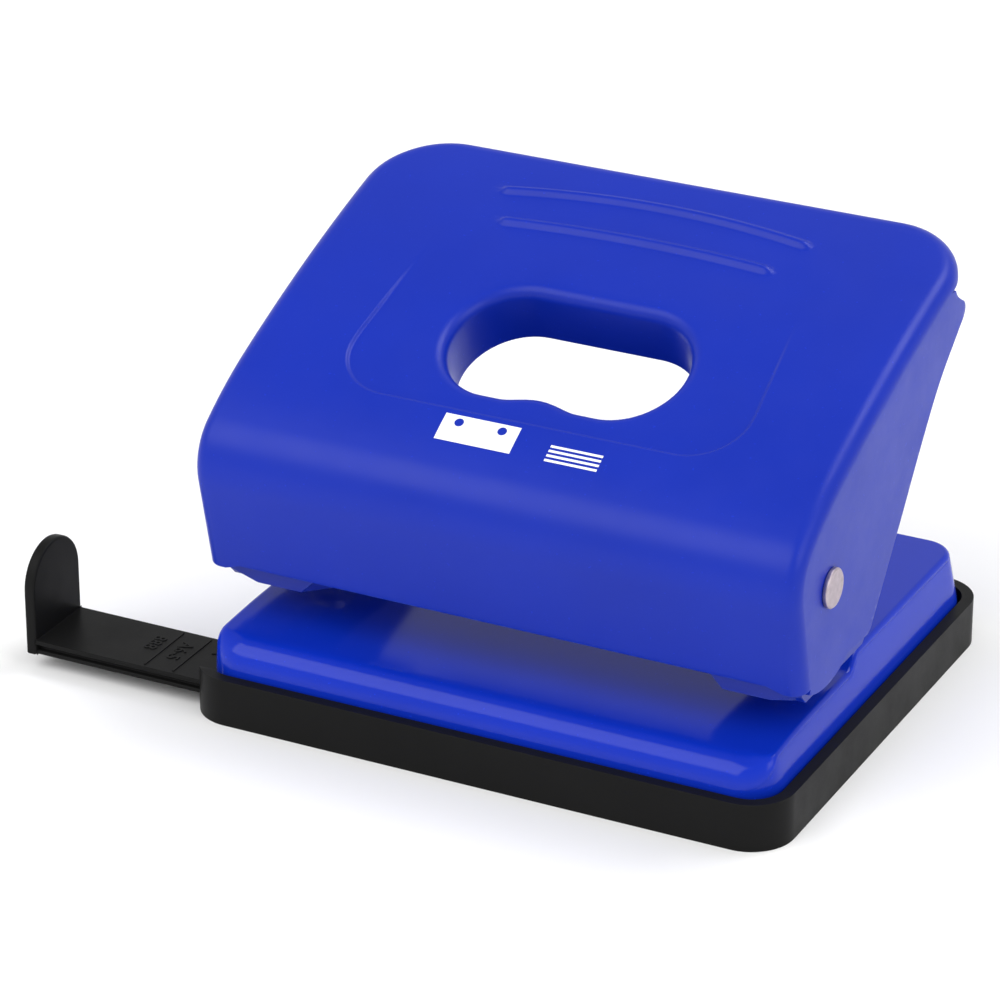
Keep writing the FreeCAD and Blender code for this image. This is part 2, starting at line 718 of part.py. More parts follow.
def make_punch(word, side):
    """Cutting shaft with a hollow-ground tip and a round head that the press bar pushes."""
    body = new_body(f"{word}_punch_pin")
    radius = S.punch_radius.number
    head = S.head_radius.number
    tip = S.punch_tip.number
    hollow = tip + S.tip_hollow.number
    shoulder = S.pivot_height.number - S.head_skirt.number
    centre = S.pivot_height.number
    outline = new_sketch(body, f"{word}PunchOutline", "XZ_Plane")
    corners = (
        (0, S.punch_tip + S.tip_hollow),
        (S.punch_radius, S.punch_tip),
        (S.punch_radius, S.pivot_height - S.head_skirt),
        (S.head_radius, S.pivot_height - S.head_skirt),
        (S.head_radius, S.pivot_height),
    )
    points = (
        Vector(0, hollow, 0), Vector(radius, tip, 0), Vector(radius, shoulder, 0),
        Vector(head, shoulder, 0), Vector(head, centre, 0),
    )
    for start, end in zip(points, points[1:]):
        outline.addGeometry(Part.LineSegment(start, end), False)
    quarter = math.pi / 2
    circle = Part.Circle(points[-1] - Vector(head, 0, 0), Vector(0, 0, 1), head)
    arc = outline.addGeometry(Part.ArcOfCircle(circle, 0, quarter), False)
    top = Vector(0, centre + head, 0)
    axis = outline.addGeometry(Part.LineSegment(top, points[0]), False)
    for index in range(len(points) - 2):
        outline.addConstraint(Sketcher.Constraint("Coincident", index, 2, index + 1, 1))
    outline.addConstraint(Sketcher.Constraint("Coincident", len(points) - 2, 2, arc, 1))
    outline.addConstraint(Sketcher.Constraint("Coincident", arc, 2, axis, 1))
    outline.addConstraint(Sketcher.Constraint("Coincident", axis, 2, 0, 1))
    for index, (across, up) in enumerate(corners[:-1]):
        hold(outline, "DistanceX", index, 1, across)
        hold(outline, "DistanceY", index, 1, up)
    hold(outline, "DistanceX", arc, 1, S.head_radius)
    hold(outline, "DistanceY", arc, 1, S.pivot_height)
    hold(outline, "DistanceX", arc, 3, 0)
    hold(outline, "DistanceY", arc, 3, S.pivot_height)
    hold(outline, "DistanceX", axis, 1, 0)
    revolve(body, f"{word}PunchTurned", outline)
    place(body, side * S.hole_spacing / 2, S.punch_line)
    return body


def make_spring_cap(word, side):
    """Washer under the punch's head that the spring pushes up."""
    body = new_body(f"{word}_spring_cap")
    top = S.pivot_height - S.head_skirt
    ring = new_sketch(body, f"{word}CapOutline", "XY_Plane")
    draw_circle(ring, S.cap_radius)
    draw_circle(ring, S.punch_radius)
    add_feature(body, "PartDesign::Pad", f"{word}CapRing", ring, Length=S.cap_height)
    place(body, side * S.hole_spacing / 2, S.punch_line, top - S.cap_height)
    return body


def make_spring(word, side):
    """The sleeve that a compression spring fills, from the guide plate to the spring cap."""
    body = new_body(f"{word}_spring")
    low = S.tower_floor + S.tower_sheet + S.running_gap
    high = S.pivot_height - S.head_skirt - S.cap_height - S.running_gap
    sleeve = new_sketch(body, f"{word}SpringOutline", "XY_Plane")
    draw_circle(sleeve, S.spring_radius + S.wire_radius)
    draw_circle(sleeve, S.spring_radius - S.wire_radius)
    add_feature(body, "PartDesign::Pad", f"{word}SpringSleeve", sleeve, Length=high - low)
    place(body, side * S.hole_spacing / 2, S.punch_line, low)
    return body


# ---- handle ----

class PanelChain:
    """Side view of the skirt, bend and top panel, as a line and three arcs, inset by a distance."""

    def __init__(self, inset):
        lean = math.radians(90 + S.skirt_lean.number)
        inward = (math.sin(lean), -math.cos(lean))
        place_y = S.skirt_place.number + inset * inward[0]
        place_z = S.skirt_low.number + inset * inward[1]
        self.start = (place_y, place_z)
        self.edges = []
        self.here = self.start
        self.heading = lean
        self.add_line(S.skirt_length.number)
        self.add_arc(S.bend_radius.number - inset, math.radians(S.bend_end.number))
        self.add_arc(S.crown_radius.number - inset, math.radians(S.crown_end.number))
        self.add_last_arc(S.panel_radius.number - inset, S.handle_rear.number - inset)

    def add_line(self, length):
        end = (self.here[0] + length * math.cos(self.heading),
               self.here[1] + length * math.sin(self.heading))
        self.edges.append(side_line(self.here, end))
        self.here = end

    def centre_of(self, radius):
        return (self.here[0] + radius * math.sin(self.heading),
                self.here[1] - radius * math.cos(self.heading))

    def add_arc(self, radius, heading):
        """Turn right on the radius until the line runs at the new heading."""
        centre = self.centre_of(radius)
        points = []
        for angle in ((self.heading + heading) / 2, heading):
            points.append((centre[0] - radius * math.sin(angle), centre[1] + radius * math.cos(angle)))
        self.edges.append(side_arc(self.here, points[0], points[1]))
        self.here = points[1]
        self.heading = heading

    def add_last_arc(self, radius, y_end):
        """Turn right on the radius until the curve reaches the given Y."""
        centre = self.centre_of(radius)
        self.add_arc(radius, math.asin((centre[0] - y_end) / radius))


def rear_trim():
    """The flange's free edge, from the rear lip down to the foot of the skirt."""
    pivot = (S.pivot_place.number, S.pivot_height.number)
    lobe = S.flange_lobe.number
    rear = S.handle_rear.number

    def on_lobe(degrees):
        angle = math.radians(degrees)
        return (pivot[0] + lobe * math.cos(angle), pivot[1] + lobe * math.sin(angle))

    lip = (rear, S.lip_low.number)
    knee_top = (12.2, 50.3)
    knee_middle = (7.1, 44.7)
    knee_low = (3.0, 38.6)
    heel_top = (-7.4, 23.8)
    heel_middle = (-8.1, 22.8)
    heel = (-9.4, 22.3)
    lobe_rear = on_lobe(-62)
    lobe_front = on_lobe(-116)
    toe = (S.skirt_place.number + 0.3, 22.4)
    return (
        side_line(lip, knee_top),
        side_arc(knee_top, knee_middle, knee_low),
        side_line(knee_low, heel_top),
        side_arc(heel_top, heel_middle, heel),
        side_line(heel, lobe_rear),
        side_arc(lobe_rear, on_lobe(-90), lobe_front),
        side_line(lobe_front, toe),
        side_line(toe, (S.skirt_place.number, S.skirt_low.number)),
    )


def handle_blank(name, inset, closing):
    """A solid block with the handle's outer shape, smaller by inset, closed below by closing."""
    chain = PanelChain(inset.number)
    rear_y = S.handle_rear.number - inset.number
    edges = chain.edges + closing(chain, rear_y)
    half_x = S.handle_half - inset
    profile = profile_face(name + "_profile", edges, -half_x)
    block = extruded(name + "_block", profile, half_x * 2)
    edge_x = half_x.number
    corners = fillet(
        name + "_corners", block, S.handle_corner - inset,
        lambda edge: is_upright(edge) and abs(middle(edge).y - rear_y) < 0.01)
    panel = Part.Compound(chain.edges)

    def on_panel(point):
        vertex = Part.Vertex(Vector(0, point.y, point.z))
        return panel.distToShape(vertex)[0] < 0.01

    def is_panel_edge(edge):
        ends = [vertex.Point for vertex in edge.Vertexes] + [middle(edge)]
        runs_across = edge.BoundBox.XLength > 60
        if runs_across:
            return abs(middle(edge).y - rear_y) < 0.01 and on_panel(middle(edge))
        return all(on_panel(point) for point in ends) and abs(ends[-1].x) > edge_x - 10

    return fillet(name, corners, S.side_bend - inset, is_panel_edge)


def outer_closing(chain, rear_y):
    lip = (rear_y, S.lip_low.number)
    return [side_line(chain.here, lip), *rear_trim()]


def inner_closing(chain, rear_y):
    floor = S.inner_floor.number
    return [
        side_line(chain.here, (rear_y, floor)),
        side_line((rear_y, floor), (chain.start[0], floor)),
        side_line((chain.start[0], floor), chain.start),
    ]


def finger_outline(name, grow, low, high):
    """The finger hole's outline, larger by grow, pushed along the panel's normal."""
    body = new_body(name)
    sketch = new_sketch(body, name + "Outline", "XY_Plane", low)
    length = S.finger_half_length.number + grow
    width = S.finger_half_width.number + grow
    offset = length - width
    bump = S.finger_bump_half.number
    rise = S.finger_bump.number
    right = Part.Arc(Vector(offset, -width, 0), Vector(length, 0, 0), Vector(offset, width, 0))
    left = Part.Arc(Vector(-offset, width, 0), Vector(-length, 0, 0), Vector(-offset, -width, 0))
    swell = Part.Arc(Vector(-bump, -width, 0), Vector(0, rise - width, 0), Vector(bump, -width, 0))
    outline = (
        right,
        Part.LineSegment(Vector(offset, width, 0), Vector(-offset, width, 0)),
        left,
        Part.LineSegment(Vector(-offset, -width, 0), Vector(-bump, -width, 0)),
        swell,
        Part.LineSegment(Vector(bump, -width, 0), Vector(offset, -width, 0)),
    )
    for curve in outline:
        sketch.addGeometry(curve, False)
    add_feature(body, "PartDesign::Pad", name + "Prism", sketch, Length=high - low)
    body.Placement = Placement(Vector(), Rotation(Vector(1, 0, 0), S.finger_slope.number))
    place(body, 0, S.finger_place, S.finger_height)
    return body


def make_handle():
    """Pressed handle: panel, skirt, side flanges, rear lip and the collared finger hole."""
    outer = handle_blank("handle_outer", Size(0), outer_closing)
    inner = handle_blank("handle_inner", S.handle_sheet, inner_closing)
    shell = cut("handle_shell", outer, [inner])
    collar = finger_outline("finger_collar", S.handle_sheet.number, -S.collar_depth, S.collar_top)
    drawn = common("finger_collar_drawn", collar, outer)
    pressed = fuse("handle_pressed", [shell, drawn])
    hole = finger_outline("finger_hole", 0, -S.collar_depth - S.finger_cut_below, S.finger_cut_above)
    pin_hole = cylinder("handle_pin_hole", S.pivot_radius + S.running_gap, -S.handle_half - S.cut_past,
                        S.pivot_place, S.pivot_height, (S.handle_half + S.cut_past) * 2, along_x=True)
    handle = cut("handle", pressed, [hole, pin_hole])
    handle.Label = "handle"
    return handle


def make_press_bar():
    """Flat bar welded between the flanges; it pushes on both punch heads."""
    body = new_body("press_bar")
    outline = new_sketch(body, "PressBarOutline", "XZ_Plane", -S.bar_rear)
    half_x = S.handle_half - S.handle_sheet
    sheet = S.bar_sheet
    top = S.bar_low + S.bar_tab
    draw_outline(outline, (
        (-half_x, S.bar_low),
        (half_x, S.bar_low),
        (half_x, top),
        (half_x - sheet / 2, top),
        (half_x - sheet / 2, S.bar_low + sheet),
        (sheet / 2 - half_x, S.bar_low + sheet),
        (sheet / 2 - half_x, top),
        (-half_x, top),
    ))
    add_feature(body, "PartDesign::Pad", "PressBarPad", outline, Length=S.bar_rear - S.bar_front)
    return body


# ---- pivots ----

def make_pivot_pin(word, side):
    """Headed pin through the handle's flange and both cheeks of the tower."""
    body = new_body(f"{word}_pivot_pin")
    outline = new_sketch(body, f"{word}PinOutline", "XZ_Plane")
    inner_end = S.tower_inner - S.pivot_reach
    head_start = S.handle_half + S.side_gap
    head_end = head_start + S.pivot_cap
    draw_outline(outline, (
        (0, inner_end),
        (S.pivot_radius, inner_end),
        (S.pivot_radius, head_start),
        (S.pivot_head, head_start),
        (S.pivot_head, head_end - S.pivot_chamfer),
        (S.pivot_head - S.pivot_chamfer, head_end),
        (0, head_end),
    ))
    revolve(body, f"{word}PinTurned", outline)
    body.Placement = Placement(Vector(), Rotation(Vector(0, 1, 0), 90 * side))
    place(body, 0, S.pivot_place, S.pivot_height)
    return body


def make_pivot_ring(word, side, label, radius, start, thickness):
    """A flat ring on the pivot pin, from start outwards."""
    body = new_body(f"{word}_{label}")
    ring = new_sketch(body, f"{word}{label}Outline", "XY_Plane", start)
    draw_circle(ring, radius)
    draw_circle(ring, S.pivot_radius)
    add_feature(body, "PartDesign::Pad", f"{word}{label}Ring", ring, Length=thickness)
    body.Placement = Placement(Vector(), Rotation(Vector(0, 1, 0), 90 * side))
    place(body, 0, S.pivot_place, S.pivot_height)
    return body


def make_pivot_washer(word, side):
    """Spacer between the tower and the handle's flange."""
    gap = S.handle_half - S.handle_sheet - S.tower_outer
    return make_pivot_ring(word, side, "pivot_washer", S.washer_radius, S.tower_outer, gap - S.side_gap)


def make_pivot_clip(word, side):
    """Retaining clip on the pin's inner end, against the tower."""
    start = S.tower_inner - S.clip_sheet
    return make_pivot_ring(word, side, "pivot_clip", S.clip_radius, start, S.clip_sheet)


# ---- paper guide ----

def make_paper_guide():
    """Sliding bar with an upright tab, rounded at its top, that sets the paper's side edge."""
    body = new_body("paper_guide")
    bar = new_sketch(body, "GuideOutline", "XZ_Plane", -S.guide_rear)
    draw_outline(bar, (
        (S.guide_left, S.guide_low),
        (S.guide_right, S.guide_low),
        (S.guide_right, S.guide_top),
        (S.guide_left + S.guide_tab, S.guide_top),
        (S.guide_left + S.guide_tab, S.guide_tab_top),
        (S.guide_left, S.guide_tab_top),
    ))
    add_feature(body, "PartDesign::Pad", "GuidePad", bar, Length=S.guide_rear - S.guide_front)
    top = S.guide_tab_top.number

    def is_tab_corner(edge):
        span = edge.BoundBox
        return span.XLength > 1 and span.YLength < 0.01 and span.ZMin > top - 0.01

    half_width = (S.guide_rear - S.guide_front) / 2 - 0.05
    round_edges(body, "TabTop", half_width, is_tab_corner)
    return body


# ---- assembly ----

def make_all():
    made = [
        make_tray(), make_base_plate(), make_rivets(),
        make_handle(), make_press_bar(), make_paper_guide(),
    ]
    for word, side in SIDES:
        made += [
            make_tower(word, side), make_die(word, side), make_guide_bush(word, side),
            make_punch(word, side), make_spring_cap(word, side), make_spring(word, side),
            make_pivot_pin(word, side), make_pivot_washer(word, side), make_pivot_clip(word, side),
        ]
    return made


def check(items):
    """Stop if any object failed or any sub-part has no valid solid."""
    for item in doc.Objects:
        if "Invalid" in item.State or "Error" in item.State:
            raise RuntimeError(f"{item.Label} failed: {item.State}")
    for item in items:
        shape = item.Shape
        if shape.isNull() or not shape.isValid() or not shape.Solids:
            raise RuntimeError(f"{item.Label} has no valid solid")
        print(f"{item.Label:20s} {len(shape.Solids)} solid, {shape.Volume / 1000:7.3f} cm3")


def main():
    items = make_all()
    doc.recompute()
    check(items)
    os.makedirs("parts", exist_ok=True)
    for item in items:
        item.Shape.exportStep(f"parts/{item.Label}.step")


main()
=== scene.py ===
# %% [markdown]
# # A desk hole punch, dressed around its CAD frame
# A hole punch is a folded steel handle, a pressed steel base, a moulded tray for the paper chips and a
# sliding paper guide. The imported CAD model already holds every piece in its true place, so this lesson
# never moves anything. It keeps the CAD pieces whose shape is right, rebuilds the sheet metal where fine
# rounding matters, and gives each surface a finish. The frame is loaded first, because every later cell
# asks it for sizes.

# %% Load the frame
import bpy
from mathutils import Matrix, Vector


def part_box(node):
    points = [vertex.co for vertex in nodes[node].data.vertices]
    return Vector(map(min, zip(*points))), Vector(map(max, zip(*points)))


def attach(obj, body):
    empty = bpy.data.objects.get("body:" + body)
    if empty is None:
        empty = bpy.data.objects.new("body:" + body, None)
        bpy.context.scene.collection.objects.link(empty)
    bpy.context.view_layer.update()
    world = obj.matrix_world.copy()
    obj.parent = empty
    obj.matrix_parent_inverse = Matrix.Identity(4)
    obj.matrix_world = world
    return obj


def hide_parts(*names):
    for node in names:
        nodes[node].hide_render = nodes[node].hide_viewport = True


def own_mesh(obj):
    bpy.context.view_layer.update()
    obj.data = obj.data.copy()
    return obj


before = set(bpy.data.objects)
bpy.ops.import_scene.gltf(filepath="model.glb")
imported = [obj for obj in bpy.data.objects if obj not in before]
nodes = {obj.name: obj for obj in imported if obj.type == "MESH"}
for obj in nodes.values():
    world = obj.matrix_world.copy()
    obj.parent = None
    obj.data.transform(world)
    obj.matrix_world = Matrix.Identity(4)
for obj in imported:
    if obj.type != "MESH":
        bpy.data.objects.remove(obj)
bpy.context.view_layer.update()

# %% [markdown]
# ## Tools and units
# Blender works in metres, but a punch is easier to describe in millimetres, so the outlines below are in
# millimetres and one helper turns them into metres when a mesh is made. Outlines could be drawn with
# curves; here they are short lists and formulas, so that the same numbers give the CAD part and the skin.

# %% Imports and units
import math

import bmesh
import bpy
import numpy as np
from mathutils import Vector, geometry

MM = 0.001
SIDES = (("left", -1), ("right", 1))
scene = bpy.context.scene


def add_object(name, data):
    """New object in the scene."""
    made = bpy.data.objects.new(name, data)
    scene.collection.objects.link(made)
    return made


def smooth(low, high, value):
    """0 below low, 1 above high, and an S-shaped blend between."""
    t = min(max((value - low) / (high - low), 0.0), 1.0)
    return t * t * (3 - 2 * t)


def ring(radius, x=0.0, y=0.0, count=24):
    """Points evenly round a circle."""
    turns = np.linspace(0, 2 * math.pi, count, endpoint=False)
    return [(x + radius * math.cos(turn), y + radius * math.sin(turn)) for turn in turns]


# %% [markdown]
# ## Turning faces into a piece
# Sheet metal is modelled here as its outer skin: a list of faces, each with the direction that it should
# face. A bmesh collects them, welds the corners that meet, and Solidify then gives the sheet its
# thickness. The other way is to model both sides by hand, which doubles the work and never stays even.

# %% Helper that builds a skin
class Skin:
    """Faces in millimetres, each turned towards the side that it should show."""

    def __init__(self):
        self.mesh = bmesh.new()

    def face(self, points, towards):
        corners = [self.mesh.verts.new(Vector(point) * MM) for point in points]
        face = self.mesh.faces.new(corners)
        face.normal_update()
        if face.normal.dot(Vector(towards)) < 0:
            face.normal_flip()

    def strip(self, rows, towards):
        """Four-sided faces between rows of points; towards(i, j) gives the side that each shows."""
        for i, (row, following) in enumerate(zip(rows, rows[1:])):
            for j in range(len(row) - 1):
                corners = (row[j], row[j + 1], following[j + 1], following[j])
                kept = [c for k, c in enumerate(corners) if (c - corners[k - 1]).length > 1e-4]
                if len(kept) > 2:
                    self.face(kept, towards(i, j))

    def piece(self, name, body):
        bmesh.ops.remove_doubles(self.mesh, verts=self.mesh.verts, dist=0.002 * MM)
        data = bpy.data.meshes.new(name)
        self.mesh.to_mesh(data)
        self.mesh.free()
        data.shade_smooth()
        made = add_object(name, data)
        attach(made, body)
        print(f"{name}: {len(data.polygons)} faces, rides on {body}")
        return made


# %% [markdown]
# ## Filling an outline with triangles
# A panel with a hole in it doesn't divide into neat rows, so it is filled by a Delaunay triangulation: the
# outline's edges are kept, and scattered points inside set how fine the triangles are. An n-gon would
# shade badly on a curved panel, and a Boolean would leave slivers along the hole.

# %% Helper that fills an outline
def distances(points, loop):
    """Distance of each point from a closed outline."""
    start = np.array(loop)
    run = np.roll(start, -1, axis=0) - start
    offset = points[:, None, :] - start[None, :, :]
    along = np.clip((offset * run).sum(2) / (run * run).sum(1), 0, 1)
    return np.sqrt(((offset - along[..., None] * run) ** 2).sum(2)).min(1)


def inside(points, loop):
    """Which points lie inside a closed outline."""
    start = np.array(loop)
    end = np.roll(start, -1, axis=0)
    x, y = points[:, 0][:, None], points[:, 1][:, None]
    spans = (start[:, 1] > y) != (end[:, 1] > y)
    rise = np.where(end[:, 1] == start[:, 1], 1e-12, end[:, 1] - start[:, 1])
    crossing = (end[:, 0] - start[:, 0]) * (y - start[:, 1]) / rise + start[:, 0]
    return (spans & (x < crossing)).sum(1) % 2 == 1


def filled(outline, holes=(), scattered=(), margin=0.5):
    """Points and triangles that fill an outline around its holes."""
    points = [tuple(p) for p in outline]
    edges = [(i, (i + 1) % len(outline)) for i in range(len(outline))]
    for hole in holes:
        first = len(points)
        points += [tuple(p) for p in hole]
        edges += [(first + i, first + (i + 1) % len(hole)) for i in range(len(hole))]
    if len(scattered):
        inner = np.array(scattered, float)
        good = inside(inner, outline) & (distances(inner, outline) > margin)
        for hole in holes:
            good &= ~inside(inner, hole) & (distances(inner, hole) > margin)
        points += [tuple(p) for p in inner[good]]
    vectors = [Vector(p) for p in points]
    flat, _, triangles, *_ = geometry.delaunay_2d_cdt(vectors, edges, [], 0, 1e-7)
    middles = np.array([sum((flat[i] for i in t), Vector((0, 0))) / 3 for t in triangles])
    wanted = inside(middles, outline)
    for hole in holes:
        wanted &= ~inside(middles, hole)
    return flat, [t for t, keep in zip(triangles, wanted) if keep]


# %% [markdown]
# ## The handle's side profile
# The handle is one sheet: a straight skirt in front, a bend, and a top panel that curves more and more
# gently towards the rear. Seen from the side it is a straight line and three arcs that meet smoothly. A
# point on the sheet is named by x, and by the distance s walked up that line. Everything on the panel, the
# finger hole, the ribs and the pressed border, is then laid out flat in (x, s) and bent onto the sheet.

# %% The side profile
SKIRT_FOOT = (-33.4, 23.3)
SKIRT_LEAN = math.radians(103)
SKIRT_LENGTH = 14.6
ARCS = ((9.6, math.radians(36.0)), (65.0, math.radians(24.5)), (300.0, math.radians(10.0)))


def profile(s):
    """Height, place and heading of the sheet's outer face, s millimetres above the skirt's foot."""
    heading = SKIRT_LEAN
    run = min(s, SKIRT_LENGTH)
    y = SKIRT_FOOT[0] + math.cos(heading) * run
    z = SKIRT_FOOT[1] + math.sin(heading) * run
    left = s - SKIRT_LENGTH
    for radius, last in ARCS:
        if left <= 0:
            break
        centre = (y + radius * math.sin(heading), z - radius * math.cos(heading))
        turn = min(left / radius, heading - last)
        heading -= turn
        y = centre[0] - radius * math.sin(heading)
        z = centre[1] + radius * math.cos(heading)
        left -= turn * radius
    return y, z, heading


def outward(s):
    """Direction that the sheet's outer face looks in."""
    heading = profile(s)[2]
    return Vector((0, -math.sin(heading), math.cos(heading)))


def on_sheet(x, s, lift=0.0):
    """Point of the sheet in millimetres, lifted off it along its own direction."""
    y, z, heading = profile(s)
    return Vector((x, y - math.sin(heading) * lift, z + math.cos(heading) * lift))


print("the bend ends at height", round(profile(25.8)[1], 2), "mm")

# %% [markdown]
# ## The rounded border of the handle
# Along its sides and rear the sheet folds down through a small, even radius. Rolling a ball of that radius
# along the inside of the fold gives it exactly: the ball touches the panel at one point and the upright
# wall at another, and the fold is the arc between. A Bevel modifier can't do this here, because the fold
# runs round corners where the wall turns and the panel slopes.

# %% Stations of the rolling ball
SIDE = 50.2
REAR = 32.6
CORNER = 13.0
BALL = 2.5
TIP = 0.92
LIP_DEPTH = 1.9


def ball_centre(s, x=0.0):
    return on_sheet(x, s, -BALL)


def s_at(y):
    """Distance up the sheet where the ball's centre has the place y."""
    low, high = 20.0, 110.0
    for _ in range(40):
        half = (low + high) / 2
        low, high = (half, high) if ball_centre(half).y < y else (low, half)
    return low


corner_x, corner_y = SIDE - CORNER, REAR - CORNER
corner_s = s_at(corner_y)


def right_stations():
    """Places of the ball, as x, s, angle and lip, from the skirt's foot to the middle of the rear."""
    count = 84
    low = [(SIDE - BALL, -TIP + (corner_s + TIP) * i / count, 0.0, 0.0) for i in range(count)]
    turn = []
    for i in range(19):
        angle = math.radians(5 * i)
        reach = CORNER - BALL
        lip = LIP_DEPTH * smooth(0, 1.0, angle)
        x, y = corner_x + reach * math.cos(angle), corner_y + reach * math.sin(angle)
        turn.append((x, s_at(y), angle, lip))
    rear = [(corner_x * (1 - i / 24), turn[-1][1], math.pi / 2, LIP_DEPTH) for i in range(1, 25)]
    return low + turn + rear


right_side = right_stations()
left_side = [(-x, s, math.pi - angle, lip) for x, s, angle, lip in reversed(right_side[:-1])]
stations = right_side + left_side
print("stations round the border:", len(stations))

# %% [markdown]
# ## The finger hole
# The hole for the finger is drawn through the panel, so its rim rolls in over a soft lip and goes down as
# a collar. Its outline is two half ellipses, straight at the rear, with a small rise in the middle of the
# front edge. It is written as a formula, so that it can be as fine as the panel around it.

# %% Outline of the finger hole
HOLE_S = 51.85
HOLE_FLAT = 9.6
HOLE_END = 11.8
HOLE_HALF = 12.75
BUMP = 1.2
BUMP_HALF = 6.5


def hole_outline():
    """Outline of the lip in (x, s), anticlockwise from the right-hand end."""
    points = []
    for i in range(-18, 19):
        angle = math.radians(5 * i)
        points.append((HOLE_FLAT + HOLE_END * math.cos(angle), HOLE_S + HOLE_HALF * math.sin(angle)))
    straight = [HOLE_FLAT - HOLE_FLAT * i / 10 for i in range(1, 20)]
    points += [(x, HOLE_S + HOLE_HALF) for x in straight]
    points += [(-x, s) for x, s in reversed(points[:37])]
    for x in reversed(straight):
        rise = BUMP * (1 + math.cos(math.pi * x / BUMP_HALF)) / 2 if abs(x) < BUMP_HALF else 0.0
        points.append((x, HOLE_S - HOLE_HALF + rise))
    return points


hole = hole_outline()
print("points round the finger hole:", len(hole))

# %% [markdown]
# ## Ribs and the pressed border
# Two ribs near the rear stop a thumb from slipping, and a shallow pressed area with rounded corners frames
# the finger hole. Both are less than a millimetre high. They could be faked with a bump map, but a bump
# doesn't change the mesh, and these catch the light along their edges, so they are real height: one
# function says how far the sheet is lifted at (x, s).

# %% Height of the sheet
RIBS = ((25.3, 84.2, 86.7), (22.1, 76.8, 77.9))
RIB_HALF = 1.25
RIB_RISE = 0.75
PRESS_DEPTH = 0.45
PRESS_FLAT = 24.3
PRESS_CORNER = 9.0
PRESS_SIDE = 33.3
PRESS_LOW = 36.2
PRESS_STEP = 0.7
PRESS_TAPER_FROM, PRESS_TAPER = 47.0, 0.085
PRESS_FADE = (50, 70)


def rib_line(rib, x):
    half, end_s, middle_s = rib
    return middle_s - (middle_s - end_s) * (x / half) ** 2


def press_side(s):
    """Half the width of the pressed area: it leans in a little towards the rear."""
    return PRESS_SIDE - max(s - PRESS_TAPER_FROM, 0.0) * PRESS_TAPER


def rib_height(x, s):
    height = 0.0
    for rib in RIBS:
        near = max(-rib[0], min(rib[0], x))
        away = math.hypot(x - near, s - rib_line(rib, near))
        if away < RIB_HALF:
            height = RIB_RISE * math.cos(away / RIB_HALF * math.pi / 2) ** 1.3
    return height


def sheet_height(x, s):
    """How far the sheet is lifted by its ribs, less the depth of the pressed area."""
    across = abs(x) - PRESS_FLAT
    along = PRESS_LOW + PRESS_CORNER - s
    if across > 0 and along > 0:
        deep = PRESS_CORNER - math.hypot(across, along)
    else:
        deep = min(s - PRESS_LOW, press_side(s) - abs(x))
    pressed = PRESS_DEPTH * smooth(-PRESS_STEP / 2, PRESS_STEP / 2, deep) * (1 - smooth(*PRESS_FADE, s))
    return rib_height(x, s) - pressed


def scattered_points():
    """Points inside the panel: an even field, and finer rows along each rib and the pressed border."""
    levels = [*np.arange(0.5, 13, 1.6), *np.arange(13.6, 27, 0.8), *np.arange(27.9, 96, 1.35)]
    field = [(x, s) for row, s in enumerate(levels) for x in np.arange(-47.5 + 0.7 * (row % 2), 47.5, 1.4)]
    rows = []
    for rib in RIBS:
        for offset in np.linspace(-1.7, 1.7, 15):
            for x in np.linspace(-rib[0] - 1.4, rib[0] + 1.4, 72):
                rows.append((x, rib_line(rib, min(abs(x), rib[0])) + offset))
    for offset in np.linspace(-0.55, 0.55, 8):
        for side in (-1, 1):
            for s in np.arange(45.4, 68, 0.9):
                rows.append((side * (press_side(s) + offset), s))
            for angle in np.radians(np.arange(2, 90, 5)):
                reach = PRESS_CORNER + offset
                x = PRESS_FLAT + reach * math.cos(angle)
                rows.append((side * x, PRESS_LOW + PRESS_CORNER - reach * math.sin(angle)))
        for x in np.arange(-PRESS_FLAT, PRESS_FLAT + 0.1, 0.9):
            rows.append((x, PRESS_LOW - offset))
    near = np.array(rows)
    open_field = [p for p in field if np.abs(near - p).max(1).min() > 0.55]
    return open_field + rows


panel_points = scattered_points()
print("points inside the panel:", len(panel_points))

# %% [markdown]
# ## The side flange
# Each side of the handle is a flat flange. It carries the pivot pin in a round lobe at the bottom, its rear
# edge sweeps up in a long curve, and a small ear sticks out behind the top corner. Only a few points are
# needed: a smooth curve is drawn through them, and the lobe is a true arc about the pivot.

# %% Outline of a flange
PIVOT = (-24.6, 36.9)
LOBE = 16.1
PIN_HOLE = 2.55
HEEL = ((-9.4, 22.3), (-8.1, 22.8))
SWEEP = ((-7.4, 23.8), (2.3, 36.2), (9.1, 45.1), (16.0, 53.3), (23.2, 59.4))
EAR = ((25.0, 60.9), (25.7, 62.2), (25.2, 63.4), (23.6, 64.4), (22.2, 65.4), (21.3, 66.6))


def curve_through(points, pace):
    """Smooth curve through the points, with about the pace between its own points."""
    padded = [points[0], *points, points[-1]]
    made = []
    for a, b, c, d in zip(padded, padded[1:], padded[2:], padded[3:]):
        steps = max(math.ceil(math.dist(b, c) / pace), 3)
        for i in range(steps):
            t = i / steps
            made.append(tuple(
                0.5 * (2 * q + (r - p) * t + (2 * p - 5 * q + 4 * r - u) * t * t
                       + (3 * q - p - 3 * r + u) * t ** 3)
                for p, q, r, u in zip(a, b, c, d)
            ))
    return made + [tuple(points[-1])]


def straight(start, end, pace):
    """Points from start up to, but without, end, no further apart than the pace."""
    count = math.ceil(math.dist(start, end) / pace)
    return [tuple(np.array(start) + (np.array(end) - np.array(start)) * i / count) for i in range(count)]


